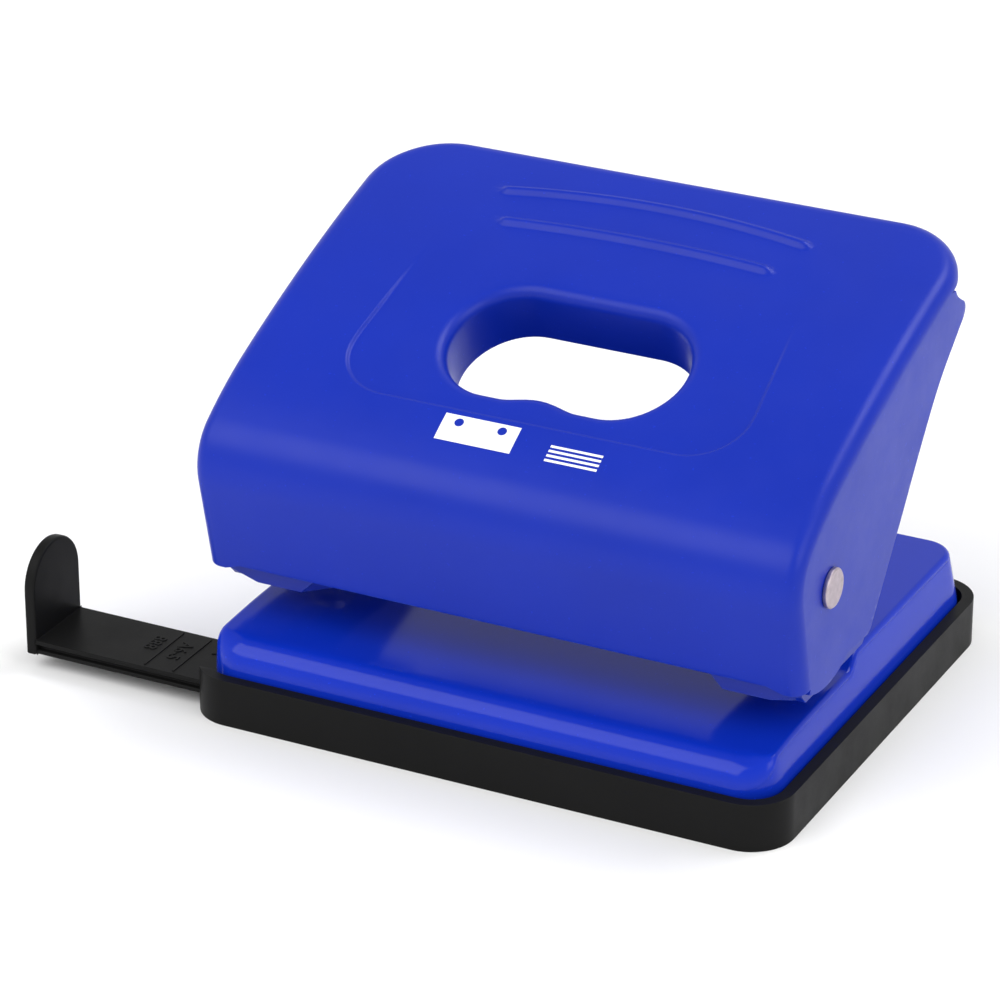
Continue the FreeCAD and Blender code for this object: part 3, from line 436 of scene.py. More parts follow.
def flange_outline():
    """Flange in (y, z): up along the fold, round the ear, down the sweep and round the lobe."""
    fold = [ball_centre(s) for x, s, angle, lip in right_side if angle == 0.0]
    top = [(point.y, point.z) for point in fold]
    ear = curve_through((*SWEEP, *EAR), 1.0)
    turns = [math.radians(angle) for angle in range(-62, -115, -4)]
    lobe = [(PIVOT[0] + LOBE * math.cos(turn), PIVOT[1] + LOBE * math.sin(turn)) for turn in turns]
    return top + ear[::-1] + [HEEL[1]] + straight(HEEL[0], lobe[0], 1.0) + lobe


flange = flange_outline()
pin_hole = ring(PIN_HOLE, *PIVOT, count=40)
print("points round a flange:", len(flange))

# %% [markdown]
# ## Putting the handle together
# The four areas are made in turn: the panel, the fold with its short rear lip, the two flanges, and the
# lip and collar of the finger hole. They share their border points, so welding them leaves one skin.

# %% The panel and its fold
handle_skin = Skin()


def sheet_point(x, s):
    return on_sheet(x, s, sheet_height(x, s))


# The skirt's foot from left to right, a little lower at both corners
foot_edge = [(float(x), -TIP * smooth(44.4, 46.6, abs(x))) for x in np.arange(-46.8, 46.9, 1.3)]
border = [(x, s) for x, s, angle, lip in stations]
flat, triangles = filled(border + foot_edge, [hole], panel_points, margin=0.42)
bent = [sheet_point(point.x, point.y) for point in flat]
for corners in triangles:
    middle_s = sum(flat[i].y for i in corners) / 3
    handle_skin.face([bent[i] for i in corners], outward(middle_s))

centres = [ball_centre(s, x) for x, s, angle, lip in stations]
walls = [Vector((math.cos(angle), math.sin(angle), 0)) for x, s, angle, lip in stations]
fold_rows = []
for step in range(8):
    row = []
    for (x, s, angle, lip), centre, wall in zip(stations, centres, walls):
        row.append(centre + BALL * outward(s).slerp(wall, step / 7))
    fold_rows.append(row)
handle_skin.strip(fold_rows, lambda i, j: fold_rows[i][j] + fold_rows[i + 1][j + 1] - centres[j] * 2)
lip_rows = [fold_rows[-1]]
for part in (0.5, 1.0):
    lip_rows.append([
        point - Vector((0, 0, lip * part)) for point, (x, s, angle, lip) in zip(fold_rows[-1], stations)
    ])
handle_skin.strip(lip_rows, lambda i, j: walls[j])
print("faces of the panel and fold:", len(handle_skin.mesh.faces))

# %% [markdown]
# The hole's lip is the same idea as the fold: a quarter circle that starts flat on the panel and ends
# going straight down, and then the collar goes on to one flat end inside the handle.

# %% The flanges and the collar
LIP_RADIUS = 2.0
COLLAR = 10.0
flange_field = [(y, z) for y in np.arange(-31, 26, 1.5) for z in np.arange(21.5, 68, 1.5)]
flat_flange, flange_faces = filled(flange, [pin_hole], flange_field, margin=0.6)
for word, side in SIDES:
    for corners in flange_faces:
        points = [Vector((side * SIDE, flat_flange[i].x, flat_flange[i].y)) for i in corners]
        handle_skin.face(points, (side, 0, 0))

hole_up = outward(HOLE_S)
hole_along = Vector((1, 0, 0)).cross(hole_up) * -1
hole_middle = on_sheet(0, HOLE_S)
inward = []
for i, (x, s) in enumerate(hole):
    before, after = hole[i - 1], hole[(i + 1) % len(hole)]
    across = Vector((after[0] - before[0], after[1] - before[1])).normalized()
    inward.append(Vector((1, 0, 0)) * -across.y + hole_along * across.x)
collar_rows = []
for step in range(7):
    turn = math.radians(90) * step / 6
    shift, drop = LIP_RADIUS * math.sin(turn), LIP_RADIUS * (1 - math.cos(turn))
    collar_rows.append([
        sheet_point(x, s) + direction * shift - hole_up * drop for (x, s), direction in zip(hole, inward)
    ])
for part in (0.33, 0.66, 1.0):
    collar_rows.append([
        point - hole_up * ((point - hole_middle).dot(hole_up) + COLLAR) * part for point in collar_rows[6]
    ])
inner_side = [
    [inward[j] + hole_up * (0.8 if i < 3 else 0.0) for j in range(len(hole))] for i in range(len(collar_rows))
]
closed_rows = [row + row[:1] for row in collar_rows]
handle_skin.strip(closed_rows, lambda i, j: inner_side[i][j])
handle = handle_skin.piece("handle_shell", "handle")
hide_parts("handle")

# %% [markdown]
# ## Thickness and soft edges
# Solidify turns the skin into 1.2 mm sheet, growing inwards. A tiny Bevel takes the razor edge off the cut
# border, as tumbling and paint do, and Weighted Normal keeps the large faces calm. As modifiers they stay
# adjustable and the skin itself isn't changed.

# %% Modifiers for sheet metal
SHEET = 1.2


def solid_sheet(piece, thickness, edge):
    sheet = piece.modifiers.new("thickness", "SOLIDIFY")
    sheet.thickness = thickness * MM
    sheet.offset = -1.0
    sheet.use_quality_normals = True
    soft_edges(piece, edge)


def soft_edges(piece, width, degrees=50, weld=False):
    """Rounds every sharp edge a little and evens the shading."""
    if weld:
        join = piece.modifiers.new("weld", "WELD")
        join.merge_threshold = 0.001 * MM
        piece.data.shade_smooth()
    rounding = piece.modifiers.new("soft_edges", "BEVEL")
    rounding.width = width * MM
    rounding.segments = 2
    rounding.limit_method = "ANGLE"
    rounding.angle_limit = math.radians(degrees)
    rounding.use_clamp_overlap = True
    shading = piece.modifiers.new("even_shading", "WEIGHTED_NORMAL")
    shading.keep_sharp = False


solid_sheet(handle, SHEET, 0.22)
print("handle modifiers:", [modifier.name for modifier in handle.modifiers])

# %% [markdown]
# ## The base plate
# The base is a shallow pressed lid. Its top steps up in an S near the middle, and its edge is rolled: a
# generous radius along the front, where paper slides in, and a tight one along the sides and rear, where
# the wall leans in a little so that the lid leaves its press. Rings around one rounded rectangle give that
# edge, each ring further in and higher, with a radius and a lean that change on the way round.

# %% Outline and edge of the base plate
base_low, base_high = (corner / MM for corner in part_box("base_plate"))
BASE_CORNER = 6.5
FRONT_TOP = 13.9
STEP_MIDDLE = -4.9
STEP_HALF = 2.0
FALL_START = -20.0
FALL = 1.15
FRONT_ROLL = 4.6
SIDE_ROLL = 0.9
FRONT_LEAN, SIDE_LEAN = math.radians(3), math.radians(11)
LEAN_START = 7.6
CREASE = 0.14
ROLL_BLEND, LEAN_BLEND = (0.10, 0.97), (0.05, 0.55)


def base_top(y):
    """Height of the top: level, falling gently towards the front edge, with a step up to the rear half."""
    step = smooth(STEP_MIDDLE - STEP_HALF, STEP_MIDDLE + STEP_HALF, y)
    fall = max(FALL_START - y, 0.0) / (FALL_START - base_low.y)
    return FRONT_TOP - FALL * fall ** 2 + (base_high.z - FRONT_TOP) * step


def base_outline():
    """Points and outward directions round the base, from the front right corner, anticlockwise."""
    made = []
    left, near = base_low.x + BASE_CORNER, base_low.y + BASE_CORNER
    right, far = base_high.x - BASE_CORNER, base_high.y - BASE_CORNER
    corner_middles = ((right, near, -90), (right, far, 0), (left, far, 90), (left, near, 180))
    for (x, y, start), (next_x, next_y, _) in zip(corner_middles, corner_middles[1:] + corner_middles[:1]):
        for i in range(13):
            turn = math.radians(start + 7.5 * i)
            away = Vector((math.cos(turn), math.sin(turn), 0))
            made.append((Vector((x, y, 0)) + away * BASE_CORNER, away))
        first = Vector((x, y, 0)) + away * BASE_CORNER
        last = Vector((next_x, next_y, 0)) + away * BASE_CORNER
        for i in range(1, 60):
            made.append((first.lerp(last, i / 60), away))
    return made


def edge_shape(point, away):
    """How far to the front the edge looks, its roll, its lean, the height of the top and the wall's inset."""
    front = smooth(*ROLL_BLEND, -away.y)
    radius = SIDE_ROLL + (FRONT_ROLL - SIDE_ROLL) * front
    lean = SIDE_LEAN + (FRONT_LEAN - SIDE_LEAN) * smooth(*LEAN_BLEND, -away.y)
    reach = radius
    for _ in range(3):
        top = base_top(point.y - away.y * reach)
        wall = (top - radius * (1 - math.sin(lean)) - LEAN_START) * math.tan(lean)
        reach = wall + radius * math.cos(lean)
    return front, radius, lean, top, wall


def rolled(point, away, part):
    """Point on the base's edge: part 0 is where the leaning wall ends, part 1 the flat top."""
    front, radius, lean, top, wall = edge_shape(point, away)
    turn = lean + (math.pi / 2 - lean) * part
    place = point - away * (wall + radius * (math.cos(lean) - math.cos(turn)))
    return Vector((place.x, place.y, top - radius * (1 - math.sin(turn))))


def creased(point, away, drop, depth):
    """Point just under the roll, pressed in by depth where the edge looks to the side or rear."""
    front, radius, lean, top, wall = edge_shape(point, away)
    place = point - away * (wall - drop * math.tan(lean) + depth * (1 - front))
    return Vector((place.x, place.y, top - radius * (1 - math.sin(lean)) - drop))


base_skin = Skin()
outline = base_outline()
base_rows = []
for height in (base_low.z, LEAN_START):
    base_rows.append([Vector((point.x, point.y, height)) for point, away in outline])
for drop, depth in ((0.50, 0.0), (0.30, CREASE), (0.18, CREASE)):
    base_rows.append([creased(point, away, drop, depth) for point, away in outline])
for step in range(10):
    base_rows.append([rolled(point, away, step / 9) for point, away in outline])
base_closed = [row + row[:1] for row in base_rows]
base_skin.strip(base_closed, lambda i, j: outline[j % len(outline)][1] + Vector((0, 0, 0.5)) * (i > 0))
print("rings round the base:", len(base_rows))

# %% [markdown]
# The top is filled like the handle's panel, with closer rows across the S-shaped step, and with the two
# holes that the dies sit under, 80 mm apart.

# %% Top of the base plate
PAPER_HOLE = 2.85
PUNCH_Y = -12.0
HOLE_SPACING = 80.0
top_edge = [(point.x, point.y) for point in base_rows[-1]]
paper_holes = [ring(PAPER_HOLE, side * HOLE_SPACING / 2, PUNCH_Y, 36) for word, side in SIDES]
rows = [*np.arange(-34, -7.6, 2.4), *np.arange(-7.3, -2.4, 0.35), *np.arange(-1, 38, 2.4)]
base_points = [(x, y) for y in rows for x in np.arange(-46, 46.1, 2.0)]
flat, triangles = filled(top_edge, paper_holes, base_points, margin=0.6)
for corners in triangles:
    points = [Vector((flat[i].x, flat[i].y, base_top(flat[i].y))) for i in corners]
    base_skin.face(points, (0, 0, 1))
base_plate = base_skin.piece("base_shell", "base")
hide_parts("base_plate")
solid_sheet(base_plate, SHEET, 0.15)

# %% [markdown]
# ## The paper guide
# The guide is a moulded bar that slides in the tray, with an upright tab that the paper's edge touches. A
# moulding has even walls, so the bar is a channel: its front shows a thin upper lip, a shaded groove and a
# lower foot. The section is drawn once and swept along x. The tab's outline is a straight-sided arch with
# a raised rim on its outer face.

# %% Bar of the guide
guide_low, guide_high = (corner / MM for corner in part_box("paper_guide"))
TAB = 1.9
BAR_TOP = 5.1
front, rear = guide_low.y, guide_high.y
bar_middle = (rear + front) / 2
foot = guide_low.z
section = (
    (front, BAR_TOP), (front, BAR_TOP - 0.75), (front + 1.1, BAR_TOP - 0.85), (front + 1.1, foot + 0.8),
    (front + 0.35, foot + 0.7), (front + 0.35, foot), (rear - 0.3, foot), (rear - 0.3, foot + 0.7),
    (rear - 0.9, foot + 0.8), (rear - 0.9, BAR_TOP - 0.8), (rear, BAR_TOP - 0.75), (rear, BAR_TOP),
)


def swept(name, start, end, body):
    """The closed section in (y, z) swept along x, with both ends closed."""
    skin = Skin()
    near = [Vector((start, y, z)) for y, z in section]
    far = [Vector((end, y, z)) for y, z in section]
    for i in range(len(section)):
        k = (i + 1) % len(section)
        run = Vector((section[k][0] - section[i][0], section[k][1] - section[i][1]))
        skin.face([near[i], near[k], far[k], far[i]], (0, -run.y, run.x))
    skin.face(near, (start - end, 0, 0))
    skin.face(far, (end - start, 0, 0))
    return skin.piece(name, body)


guide_bar = swept("guide_bar", guide_low.x + TAB - 0.1, guide_high.x, "guide")
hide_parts("paper_guide")
guide_bar.data.shade_flat()
soft_edges(guide_bar, 0.16, 30)

# %% [markdown]
# The tab is built from nested arches: each arch is the outline, drawn in by a small step and moved along
# x, so the edge is rounded and the rim stands proud of the face without any Boolean.

# %% Tab of the guide
TAB_WAIST = 9.0


def arch(inset, x):
    """Outline of the tab, drawn in by inset, at one x."""
    half = (rear - front) / 2 - inset
    spring_line = guide_high.z - (rear - front) / 2
    low = foot + min(inset, 0.4)
    points = [Vector((x, bar_middle - half, z)) for z in (low, BAR_TOP, TAB_WAIST)]
    for i in range(25):
        turn = math.pi - math.pi * i / 24
        points.append(Vector((x, bar_middle + half * math.cos(turn), spring_line + half * math.sin(turn))))
    return points + [Vector((x, bar_middle + half, z)) for z in (TAB_WAIST, BAR_TOP, low)]


outer, inner = guide_low.x + 0.02, guide_low.x + TAB
layers = (
    (1.7, outer + 0.35), (1.3, outer + 0.3), (1.1, outer + 0.04), (0.9, outer), (0.35, outer),
    (0.1, outer + 0.1), (0.0, outer + 0.35), (0.0, inner - 0.4), (0.12, inner - 0.12), (0.4, inner),
)
tab_skin = Skin()
arches = [arch(inset, x) for inset, x in layers]
tab_middle = Vector(((outer + inner) / 2, bar_middle, 11))
closed_arches = [row + row[:1] for row in arches]


def tab_side(i, j):
    """Side that a band of the tab shows: outwards at its edge, along x on its two faces."""
    if i < 4:
        return (-1, 0, 0) if i != 1 else tab_middle - arches[i][j % len(arches[i])] + Vector((-2, 0, 0))
    if i > 7:
        return (1, 0, 0)
    return arches[i][j % len(arches[i])] - tab_middle


tab_skin.strip(closed_arches, tab_side)
tab_skin.face(arches[0], (-1, 0, 0))
tab_skin.face(arches[-1], (1, 0, 0))
guide_tab = tab_skin.piece("guide_tab", "guide")
soft_edges(guide_tab, 0.05, 60)

# %% [markdown]
# ## Raised marks on the guide
# The guide shows where to set it for common paper sizes. The marks are generic: two lines across the bar,
# a paper size, the usual row of eights for small loose-leaf books, and a little pointer. Text objects are
# turned into meshes, because a raised mark is a shape and not a picture, and the letters are then real
# steps of a tenth of a millimetre.

# %% Marks on the guide
RAISED = 0.07
SINK = 0.05
LETTERS = 3.1


def raised_word(text, size):
    """Mesh of a short word, in millimetres, lying flat and centred on its own middle."""
    curve = bpy.data.curves.new("word", "FONT")
    curve.body = text
    curve.size = size
    curve.extrude = RAISED
    curve.offset = 0.03
    curve.align_x = "CENTER"
    curve.align_y = "CENTER"
    curve.resolution_u = 3
    holder = add_object("word", curve)
    bpy.context.view_layer.update()
    made = bpy.data.meshes.new_from_object(holder)
    points = [vertex.co.copy() for vertex in made.vertices]
    faces = [tuple(face.vertices) for face in made.polygons]
    bpy.data.objects.remove(holder)
    return points, faces


marks = bmesh.new()


def add_mark(points, faces, place):
    """Adds a raised shape to the marks, at a place on the guide."""
    corners = [marks.verts.new(place(point) * MM) for point in points]
    for face in faces:
        marks.faces.new([corners[i] for i in face])


def flat_bar(width, depth):
    """A thin raised block, centred."""
    ends = (-1, 1)
    points = [Vector((x * width / 2, y * depth / 2, z * RAISED)) for x in ends for y in ends for z in ends]
    faces = ((0, 1, 3, 2), (4, 6, 7, 5), (0, 4, 5, 1), (2, 3, 7, 6), (0, 2, 6, 4), (1, 5, 7, 3))
    return points, faces


def read_along_y(x, y):
    """Placement that turns a word so that it reads along y, standing on the bar."""
    return lambda p: Vector((x + p.y, y - p.x, BAR_TOP + p.z + SINK))


first_line, second_line = inner + 19.4, inner + 24.5
for x in (first_line, second_line):
    add_mark(*flat_bar(rear - front - 1.6, 0.28), read_along_y(x, bar_middle))
add_mark(*raised_word("888", LETTERS), read_along_y(first_line - 2.4, bar_middle + 1.2))
add_mark(*raised_word("A6-5", LETTERS), read_along_y((first_line + second_line) / 2, bar_middle + 0.4))
add_mark(*raised_word("A5", LETTERS), read_along_y(second_line + 9.0, bar_middle))
triangle = ((-1.1, -0.9), (1.1, -0.9), (0, 1.2))
pointer = [Vector((x, y, z)) for z in (RAISED, -RAISED) for x, y in triangle]
pointer_faces = ((0, 1, 2), (5, 4, 3), (0, 3, 4, 1), (1, 4, 5, 2), (2, 5, 3, 0))
add_mark(pointer, pointer_faces, read_along_y(second_line + 3.4, bar_middle + 2.8))
bmesh.ops.recalc_face_normals(marks, faces=marks.faces)
mark_mesh = bpy.data.meshes.new("guide_marks")
marks.to_mesh(mark_mesh)
marks.free()
guide_marks = add_object("guide_marks", mark_mesh)
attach(guide_marks, "guide")
print("faces of the marks:", len(mark_mesh.polygons))

# %% [markdown]
# ## A printed pictogram
# Punches carry a small print on the front of the panel. Here it is a plain one that every maker could use:
# a sheet of paper with two holes, beside a stack of sheets. Ink is far too thin to model truly, so it is a
# film a few hundredths of a millimetre above the sheet, laid out flat in (x, s) like everything else.

# %% The pictogram
INK = 0.03


def ink(outline, holes, skin, centre, lean=0.0):
    """Film of ink on the panel, inside an outline given in millimetres about a centre in (x, s)."""
    def placed(points):
        return [(centre[0] + x + lean * y, centre[1] + y) for x, y in points]
    flat, triangles = filled(placed(outline), [placed(h) for h in holes])
    for corners in triangles:
        points = [on_sheet(flat[i].x, flat[i].y, INK) for i in corners]
        skin.face(points, outward(centre[1]))


def slab(width, height, rows=3):
    """Rectangle whose upright sides have a few points, so that it follows the panel's bend."""
    levels = [height * (i / rows - 0.5) for i in range(rows + 1)]
    return [(width / 2, y) for y in levels] + [(-width / 2, y) for y in reversed(levels)]


print_skin = Skin()
sheet_centre = (-6.1, 32.6)
ink(slab(12.6, 4.9, 5), [ring(0.75, -3.6, 1.15), ring(0.75, 3.6, 1.15)], print_skin, sheet_centre, 0.0)
for i in range(4):
    ink(slab(8.6, 0.42, 1), [], print_skin, (10.2, 30.4 + 0.85 * i))
pictogram = print_skin.piece("page_print", "handle")
print("the print is", INK, "mm above the sheet")

# %% [markdown]
# ## The springs
# A compression spring returns each punch. The CAD part only reserves its room with a sleeve, so the real
# coil is swept here: a circle of wire carried along a helix whose pitch closes up at both ends, as ground
# springs do. Such a coil shortens as the punch goes down; here each coil rides on the base.

# %% Coil springs
WIRE = 0.45
COIL = 4.9
TURNS = 7.5
TURN_STEPS = 32
CLOSING = 0.12


def coil_spring(word):
    low, high = (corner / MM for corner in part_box(f"{word}_spring"))
    centre = Vector(((low.x + high.x) / 2, (low.y + high.y) / 2, 0))
    bottom, top = low.z + WIRE, high.z - WIRE
    steps = int(TURNS * TURN_STEPS)
    rows, hearts = [], []
    for i in range(steps + 1):
        part = i / steps
        turn = 2 * math.pi * TURNS * part
        height = bottom + (top - bottom) * smooth(-CLOSING, 1 + CLOSING, part)
        if i in (0, steps):
            height = top if i else bottom
        away = Vector((math.cos(turn), math.sin(turn), 0))
        heart = centre + away * COIL + Vector((0, 0, height))
        hearts.append(heart)
        rows.append([
            heart + (away * math.cos(a) + Vector((0, 0, math.sin(a)))) * WIRE
            for a in np.linspace(0, 2 * math.pi, 11)
        ])
    skin = Skin()
    skin.strip(rows, lambda i, j: rows[i][j] + rows[i + 1][j + 1] - hearts[i] - hearts[i + 1])
    skin.face(rows[0][:-1], (0, -1, 0))
    skin.face(rows[-1][:-1], hearts[-1] - hearts[-2])
    spring = skin.piece(f"{word}_coil", "base")
    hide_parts(f"{word}_spring")
    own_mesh(spring)
    return spring


springs = [coil_spring(word) for word, side in SIDES]

# %% [markdown]
# ## Soft edges on the CAD pieces
# The other CAD pieces have the right shape but razor edges, and no real edge is that sharp. A Weld joins
# the seams between CAD faces, a narrow Bevel rounds what is sharp, and Weighted Normal evens the shading.
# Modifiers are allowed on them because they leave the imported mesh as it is.

# %% Soften the CAD pieces
SOFT = {"base_tray": 0.45, "tower_rivets": 0.15, "press_bar": 0.3}
SOFT_PAIRS = {
    "tower": 0.25, "die": 0.15, "guide_bush": 0.2, "punch_pin": 0.1, "spring_cap": 0.15,
    "pivot_pin": 0.28, "pivot_washer": 0.12, "pivot_clip": 0.12,
}
for word, side in SIDES:
    SOFT.update({f"{word}_{name}": width for name, width in SOFT_PAIRS.items()})
for name, width in SOFT.items():
    soft_edges(nodes[name], width, 40, weld=True)
print("softened:", len(SOFT), "CAD pieces")

# %% [markdown]
# ## How the finishes are made
# Every finish is a small node tree around one Principled shader. Object coordinates are in metres, so a
# noise of scale 1000 has grains about a millimetre across. Values that are the same all over are set on
# the shader; only what varies over the surface is linked. Image textures would need unwrapping and would
# look soft up close, while these stay sharp at any distance.

# %% Helpers for finishes
REMAP = ("From Min", "From Max", "To Min", "To Max")


class Finish:
    """A material, its shader, and short ways to add the nodes used below."""

    def __init__(self, name, colour, roughness, metal=0.0, gloss=0.5):
        self.material = bpy.data.materials.new(name)
        self.material.use_nodes = True
        self.material.diffuse_color = (*colour, 1)
        self.tree = self.material.node_tree
        self.shader = self.tree.nodes["Principled BSDF"]
        self.shader.inputs["Base Color"].default_value = (*colour, 1)
        self.shader.inputs["Roughness"].default_value = roughness
        self.shader.inputs["Metallic"].default_value = metal
        self.shader.inputs["Specular IOR Level"].default_value = gloss
        self.place = self.add("ShaderNodeTexCoord").outputs["Object"]

    def add(self, kind, **values):
        node = self.tree.nodes.new(kind)
        for key, value in values.items():
            setattr(node, key, value)
        return node

    def link(self, start, end):
        self.tree.links.new(start, end)

    def noise(self, scale, detail=2.0, roughness=0.5, stretch=None):
        """Noise between 0 and 1; stretch makes it long along an axis."""
        node = self.add("ShaderNodeTexNoise")
        for key, number in (("Scale", scale), ("Detail", detail), ("Roughness", roughness)):
            node.inputs[key].default_value = number
        source = self.place
        if stretch:
            mapping = self.add("ShaderNodeMapping")
            mapping.inputs["Scale"].default_value = stretch
            self.link(self.place, mapping.inputs["Vector"])
            source = mapping.outputs["Vector"]
        self.link(source, node.inputs["Vector"])
        return node.outputs["Fac"]

    def remap(self, value, from_low, from_high, to_low, to_high):
        node = self.add("ShaderNodeMapRange")
        for key, number in zip(REMAP, (from_low, from_high, to_low, to_high)):
            node.inputs[key].default_value = number
        self.link(value, node.inputs["Value"])
        return node.outputs["Result"]

    def product(self, first, second):
        node = self.add("ShaderNodeMath", operation="MULTIPLY")
        self.link(first, node.inputs[0])
        self.link(second, node.inputs[1])
        return node.outputs[0]

    def blend(self, amount, first, second):
        """Colour between two colours, each a tuple or another node's colour."""
        node = self.add("ShaderNodeMix", data_type="RGBA")
        self.link(amount, node.inputs["Factor"])
        for socket, colour in ((node.inputs[6], first), (node.inputs[7], second)):
            if isinstance(colour, tuple):
                socket.default_value = (*colour, 1)
            else:
                self.link(colour, socket)
        return node.outputs[2]

    def edges(self, radius, low=0.985, high=0.90):
        """1 on edges rounder than radius in millimetres, 0 on open faces."""
        bevel = self.add("ShaderNodeBevel", samples=4)
        bevel.inputs["Radius"].default_value = radius * MM
        normal = self.add("ShaderNodeNewGeometry").outputs["Normal"]
        dot = self.add("ShaderNodeVectorMath", operation="DOT_PRODUCT")
        self.link(bevel.outputs["Normal"], dot.inputs[0])
        self.link(normal, dot.inputs[1])
        return self.remap(dot.outputs["Value"], low, high, 0.0, 1.0)

    def bumps(self, *layers):
        """Bump from several heights: (value, depth in millimetres, strength)."""
        below = None
        for value, depth, strength in layers:
            node = self.add("ShaderNodeBump")
            node.inputs["Distance"].default_value = depth * MM
            node.inputs["Strength"].default_value = strength
            self.link(value, node.inputs["Height"])
            if below:
                self.link(below, node.inputs["Normal"])
            below = node.outputs["Normal"]
        self.link(below, self.shader.inputs["Normal"])

    def colour(self, value):
        self.link(value, self.shader.inputs["Base Color"])

    def rough(self, value):
        self.link(value, self.shader.inputs["Roughness"])


def dress(finish, *pieces):
    for piece in pieces:
        piece.data.materials.clear()
        piece.data.materials.append(finish.material)
    print(f"{finish.material.name}: {len(pieces)} pieces")


def shade(colour, factor):
    return tuple(min(channel * factor, 1.0) for channel in colour)


# %% [markdown]
# ## Blue enamel
# Both the handle and the base are painted with baked enamel. Sprayed paint levels out, but never quite:
# it keeps a faint orange peel with waves a millimetre or two long, and a few specks of dust. The handle
# is satin and the base is glossier. At cut edges the paint is thin and rubs paler. One function makes
# both, so that they stay the same paint. Its colour is painted lighter on the base, as painted light
# where the base lies open to the lamps, and darker on the towers, as painted shade under the handle.

# %% Enamel
BLUE = (0.0028, 0.0215, 0.3600)


def enamel(name, colour, roughness, spread, peel, gloss):
    finish = Finish(name, colour, roughness, gloss=gloss)
    clouds = finish.noise(45, 3.0)
    tinted = finish.blend(clouds, shade(colour, 0.90), shade(colour, 1.08))
    specks = finish.remap(finish.noise(2400, 0.0), 0.79, 0.86, 0.0, 0.55)
    speckled = finish.blend(specks, tinted, shade(colour, 1.6))
    rubbed = finish.product(finish.edges(0.35), finish.remap(finish.noise(700, 3.0), 0.40, 0.68, 0.0, 0.75))
    finish.colour(finish.blend(rubbed, speckled, (0.05, 0.10, 0.48)))
    sheen = finish.noise(130, 4.0, 0.6)
    finish.rough(finish.remap(sheen, 0.25, 0.75, roughness - spread, roughness + spread))
    finish.bumps(
        (finish.noise(620, 1.0), 0.05, peel),
        (finish.noise(2200, 2.0), 0.015, peel),
        (specks, 0.03, 0.3),
    )
    return finish


handle_enamel = enamel("handle_enamel", BLUE, 0.36, 0.05, 0.16, 0.22)
# The base's lighter copy of the blue is painted light, for where the base lies open to the lamps.
base_enamel = enamel("base_enamel", shade(BLUE, 1.25), 0.14, 0.03, 0.05, 0.22)
# The towers' darker copy of the blue is painted shade, for their place under the handle.
tower_enamel = enamel("tower_enamel", shade(BLUE, 0.9), 0.34, 0.05, 0.12, 0.32)
dress(handle_enamel, handle)
dress(base_enamel, base_plate)
dress(tower_enamel, nodes["left_tower"], nodes["right_tower"])

# %% [markdown]
# ## Black moulded plastic
# The tray and the guide are moulded in black polystyrene with a fine spark-eroded grain. Close up the
# grain is a shallow pebble texture; from further away it only softens reflections. Handling polishes it in
# patches and leaves the edges a little greyer.

# %% Plastics
def moulded(name, colour, roughness, grain):
    finish = Finish(name, colour, roughness, gloss=0.07)
    tinted = finish.blend(finish.noise(60, 4.0), shade(colour, 0.8), shade(colour, 1.25))
    worn = finish.product(finish.edges(0.4), finish.remap(finish.noise(500, 3.0), 0.35, 0.7, 0.0, 0.6))
    finish.colour(finish.blend(worn, tinted, shade(colour, 2.4)))
    finish.rough(finish.remap(finish.noise(90, 5.0, 0.65), 0.3, 0.7, roughness - 0.07, roughness + 0.08))
    finish.bumps((finish.noise(2600, 3.0, 0.7), 0.03, grain), (finish.noise(140, 2.0), 0.06, 0.05))
    return finish


black_plastic = moulded("black_plastic", (0.0080, 0.0080, 0.0080), 0.40, 0.30)
nylon = moulded("bush_plastic", (0.72, 0.70, 0.64), 0.5, 0.2)
dress(black_plastic, nodes["base_tray"], guide_bar, guide_tab, guide_marks,
      nodes["left_pivot_washer"], nodes["right_pivot_washer"])
dress(nylon, nodes["left_guide_bush"], nodes["right_guide_bush"])

# %% [markdown]
# ## Bare metal
# The pivot pins are turned and then bashed over, so they are dull, a little pink from the reflected paint
# and mottled. The punches and dies are ground, the springs are drawn wire, and the spring caps, rivets
# and press bar are zinc plated. They differ in colour and in the direction and size of their scratches.

# %% Metals
def metal(name, colour, roughness, scratch, stretch, mottle):
    finish = Finish(name, colour, roughness, metal=1.0)
    patches = finish.noise(mottle, 4.0, 0.6)
    tinted = finish.blend(patches, shade(colour, 0.72), shade(colour, 1.12))
    worn = finish.edges(0.25)
    finish.colour(finish.blend(worn, tinted, shade(colour, 1.2)))
    lines = finish.noise(scratch, 3.0, 0.6, stretch)
    finish.rough(finish.remap(lines, 0.3, 0.7, roughness - 0.08, roughness + 0.10))
    finish.bumps((lines, 0.01, 0.35), (patches, 0.04, 0.25))
    return finish


pin_steel = metal("pin_steel", (0.50, 0.43, 0.47), 0.42, 900, (1, 1, 1), 1100)
hard_steel = metal("hard_steel", (0.46, 0.46, 0.47), 0.25, 400, (6, 6, 0.4), 300)
spring_steel = metal("spring_steel", (0.52, 0.52, 0.54), 0.28, 700, (1, 1, 4), 400)
zinc_steel = metal("zinc_steel", (0.56, 0.57, 0.60), 0.38, 500, (0.5, 3, 3), 160)
for word, side in SIDES:
    dress(pin_steel, nodes[f"{word}_pivot_pin"])
    dress(hard_steel, nodes[f"{word}_punch_pin"], nodes[f"{word}_die"])
    dress(spring_steel, nodes[f"{word}_pivot_clip"])
    dress(zinc_steel, nodes[f"{word}_spring_cap"])
dress(spring_steel, *springs)
dress(zinc_steel, nodes["tower_rivets"], nodes["press_bar"])

# %% [markdown]
# ## White ink
# Pad printing leaves a soft, slightly uneven film: a little thinner in places, so some of the paint shows
# through as a cooler white.

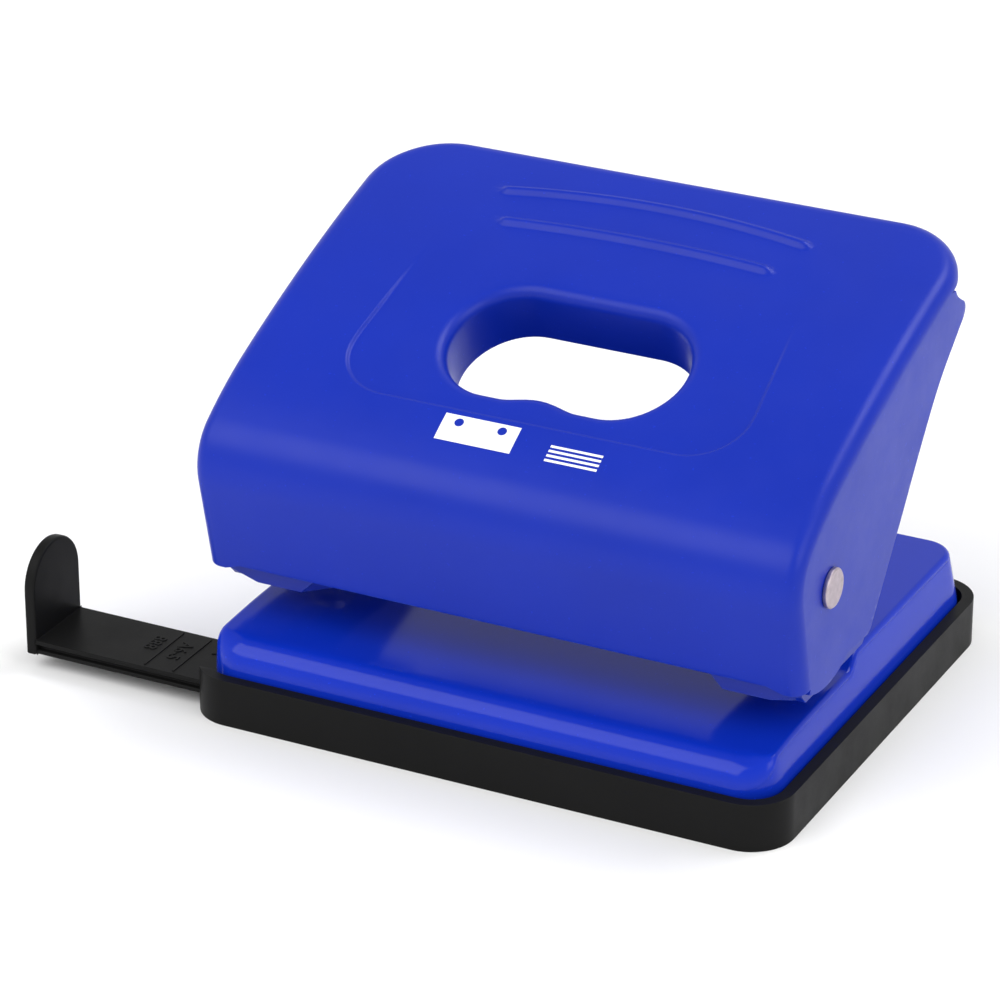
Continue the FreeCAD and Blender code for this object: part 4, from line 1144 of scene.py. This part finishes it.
# %% Ink
WHITE, THIN_WHITE = (0.86, 0.87, 0.90), (0.55, 0.60, 0.82)
white_ink = Finish("white_ink", WHITE, 0.5, gloss=0.3)
thin = white_ink.remap(white_ink.noise(1500, 3.0), 0.5, 0.75, 0.0, 0.35)
white_ink.colour(white_ink.blend(thin, WHITE, THIN_WHITE))
white_ink.rough(white_ink.remap(white_ink.noise(900, 2.0), 0.3, 0.7, 0.42, 0.6))
white_ink.bumps((white_ink.noise(1800, 2.0), 0.01, 0.2))
dress(white_ink, pictogram)

# %% [markdown]
# ## Floor, light and camera
# The punch stands on a plain pale floor in a plain studio. The world gives an even light that is whiter
# near the horizon, so that shiny sheet shows a bright rim, and darker above, so that the blue stays deep.
# One large soft light in front on the left draws the broad highlight along the bend. A smaller one on the
# right fills the side.

# %% Floor
floor_mesh = bpy.data.meshes.new("floor")
FLOOR_HALF = 3.0
floor_mesh.from_pydata(
    [(x * FLOOR_HALF, y * FLOOR_HALF, 0) for x, y in ((-1, -1), (1, -1), (1, 1), (-1, 1))], [], [(0, 1, 2, 3)]
)
floor = add_object("floor", floor_mesh)
pale = Finish("pale_floor", (0.93, 0.93, 0.93), 0.9, gloss=0.05)
pale.colour(pale.blend(pale.noise(9, 3.0), (0.92, 0.92, 0.92), (0.94, 0.94, 0.94)))
dress(pale, floor)

# %% World
world = bpy.data.worlds.new("studio")
scene.world = world
world.use_nodes = True
sky = world.node_tree
background = sky.nodes["Background"]
direction = sky.nodes.new("ShaderNodeTexCoord")
height = sky.nodes.new("ShaderNodeSeparateXYZ")
fade = sky.nodes.new("ShaderNodeMapRange")
HORIZON, ZENITH = 1.05, 0.42
for key, number in zip(REMAP, (0.0, 0.85, HORIZON, ZENITH)):
    fade.inputs[key].default_value = number
sky.links.new(direction.outputs["Generated"], height.inputs["Vector"])
sky.links.new(height.outputs["Z"], fade.inputs["Value"])
sky.links.new(fade.outputs["Result"], background.inputs["Strength"])
background.inputs["Color"].default_value = (1.0, 1.0, 1.0, 1)
print("world strength:", HORIZON, "at the horizon,", ZENITH, "overhead")

# %% Soft lights
LIGHT_TARGET = Vector((0, 0, 0.04))


def soft_light(name, azimuth, elevation, distance, size, power):
    """Area light aimed at the punch; azimuth 0 is in front and grows towards the right."""
    turn, rise = math.radians(azimuth), math.radians(elevation)
    away = Vector((math.sin(turn) * math.cos(rise), -math.cos(turn) * math.cos(rise), math.sin(rise)))
    data = bpy.data.lights.new(name, "AREA")
    data.shape = "RECTANGLE"
    data.size, data.size_y = size
    data.energy = power
    lamp = add_object(name, data)
    lamp.location = LIGHT_TARGET + away * distance
    lamp.rotation_euler = away.to_track_quat("Z", "Y").to_euler()
    print(f"{name}: {power} W at {distance} m")


soft_light("front_softbox", -30, 46, 0.9, (1.00, 0.62), 5.0)
soft_light("right_fill", 75, 35, 1.0, (0.6, 0.6), 2.6)
soft_light("top_light", 150, 60, 1.2, (0.6, 0.6), 6.0)

# %% Camera
CAMERA_PLACE = (0.27639, -0.57718, 0.33101)
CAMERA_AZIMUTH, CAMERA_ELEVATION = math.radians(26.882), math.radians(25.2)
camera_data = bpy.data.cameras.new("camera")
camera_data.lens = 164.07
camera_data.sensor_width = 36.0
camera = add_object("camera", camera_data)
camera.location = CAMERA_PLACE
camera.rotation_euler = (math.pi / 2 - CAMERA_ELEVATION, 0, CAMERA_AZIMUTH)
scene.camera = camera
scene.view_settings.view_transform = "Standard"
print("camera at", [round(value, 3) for value in camera.location])
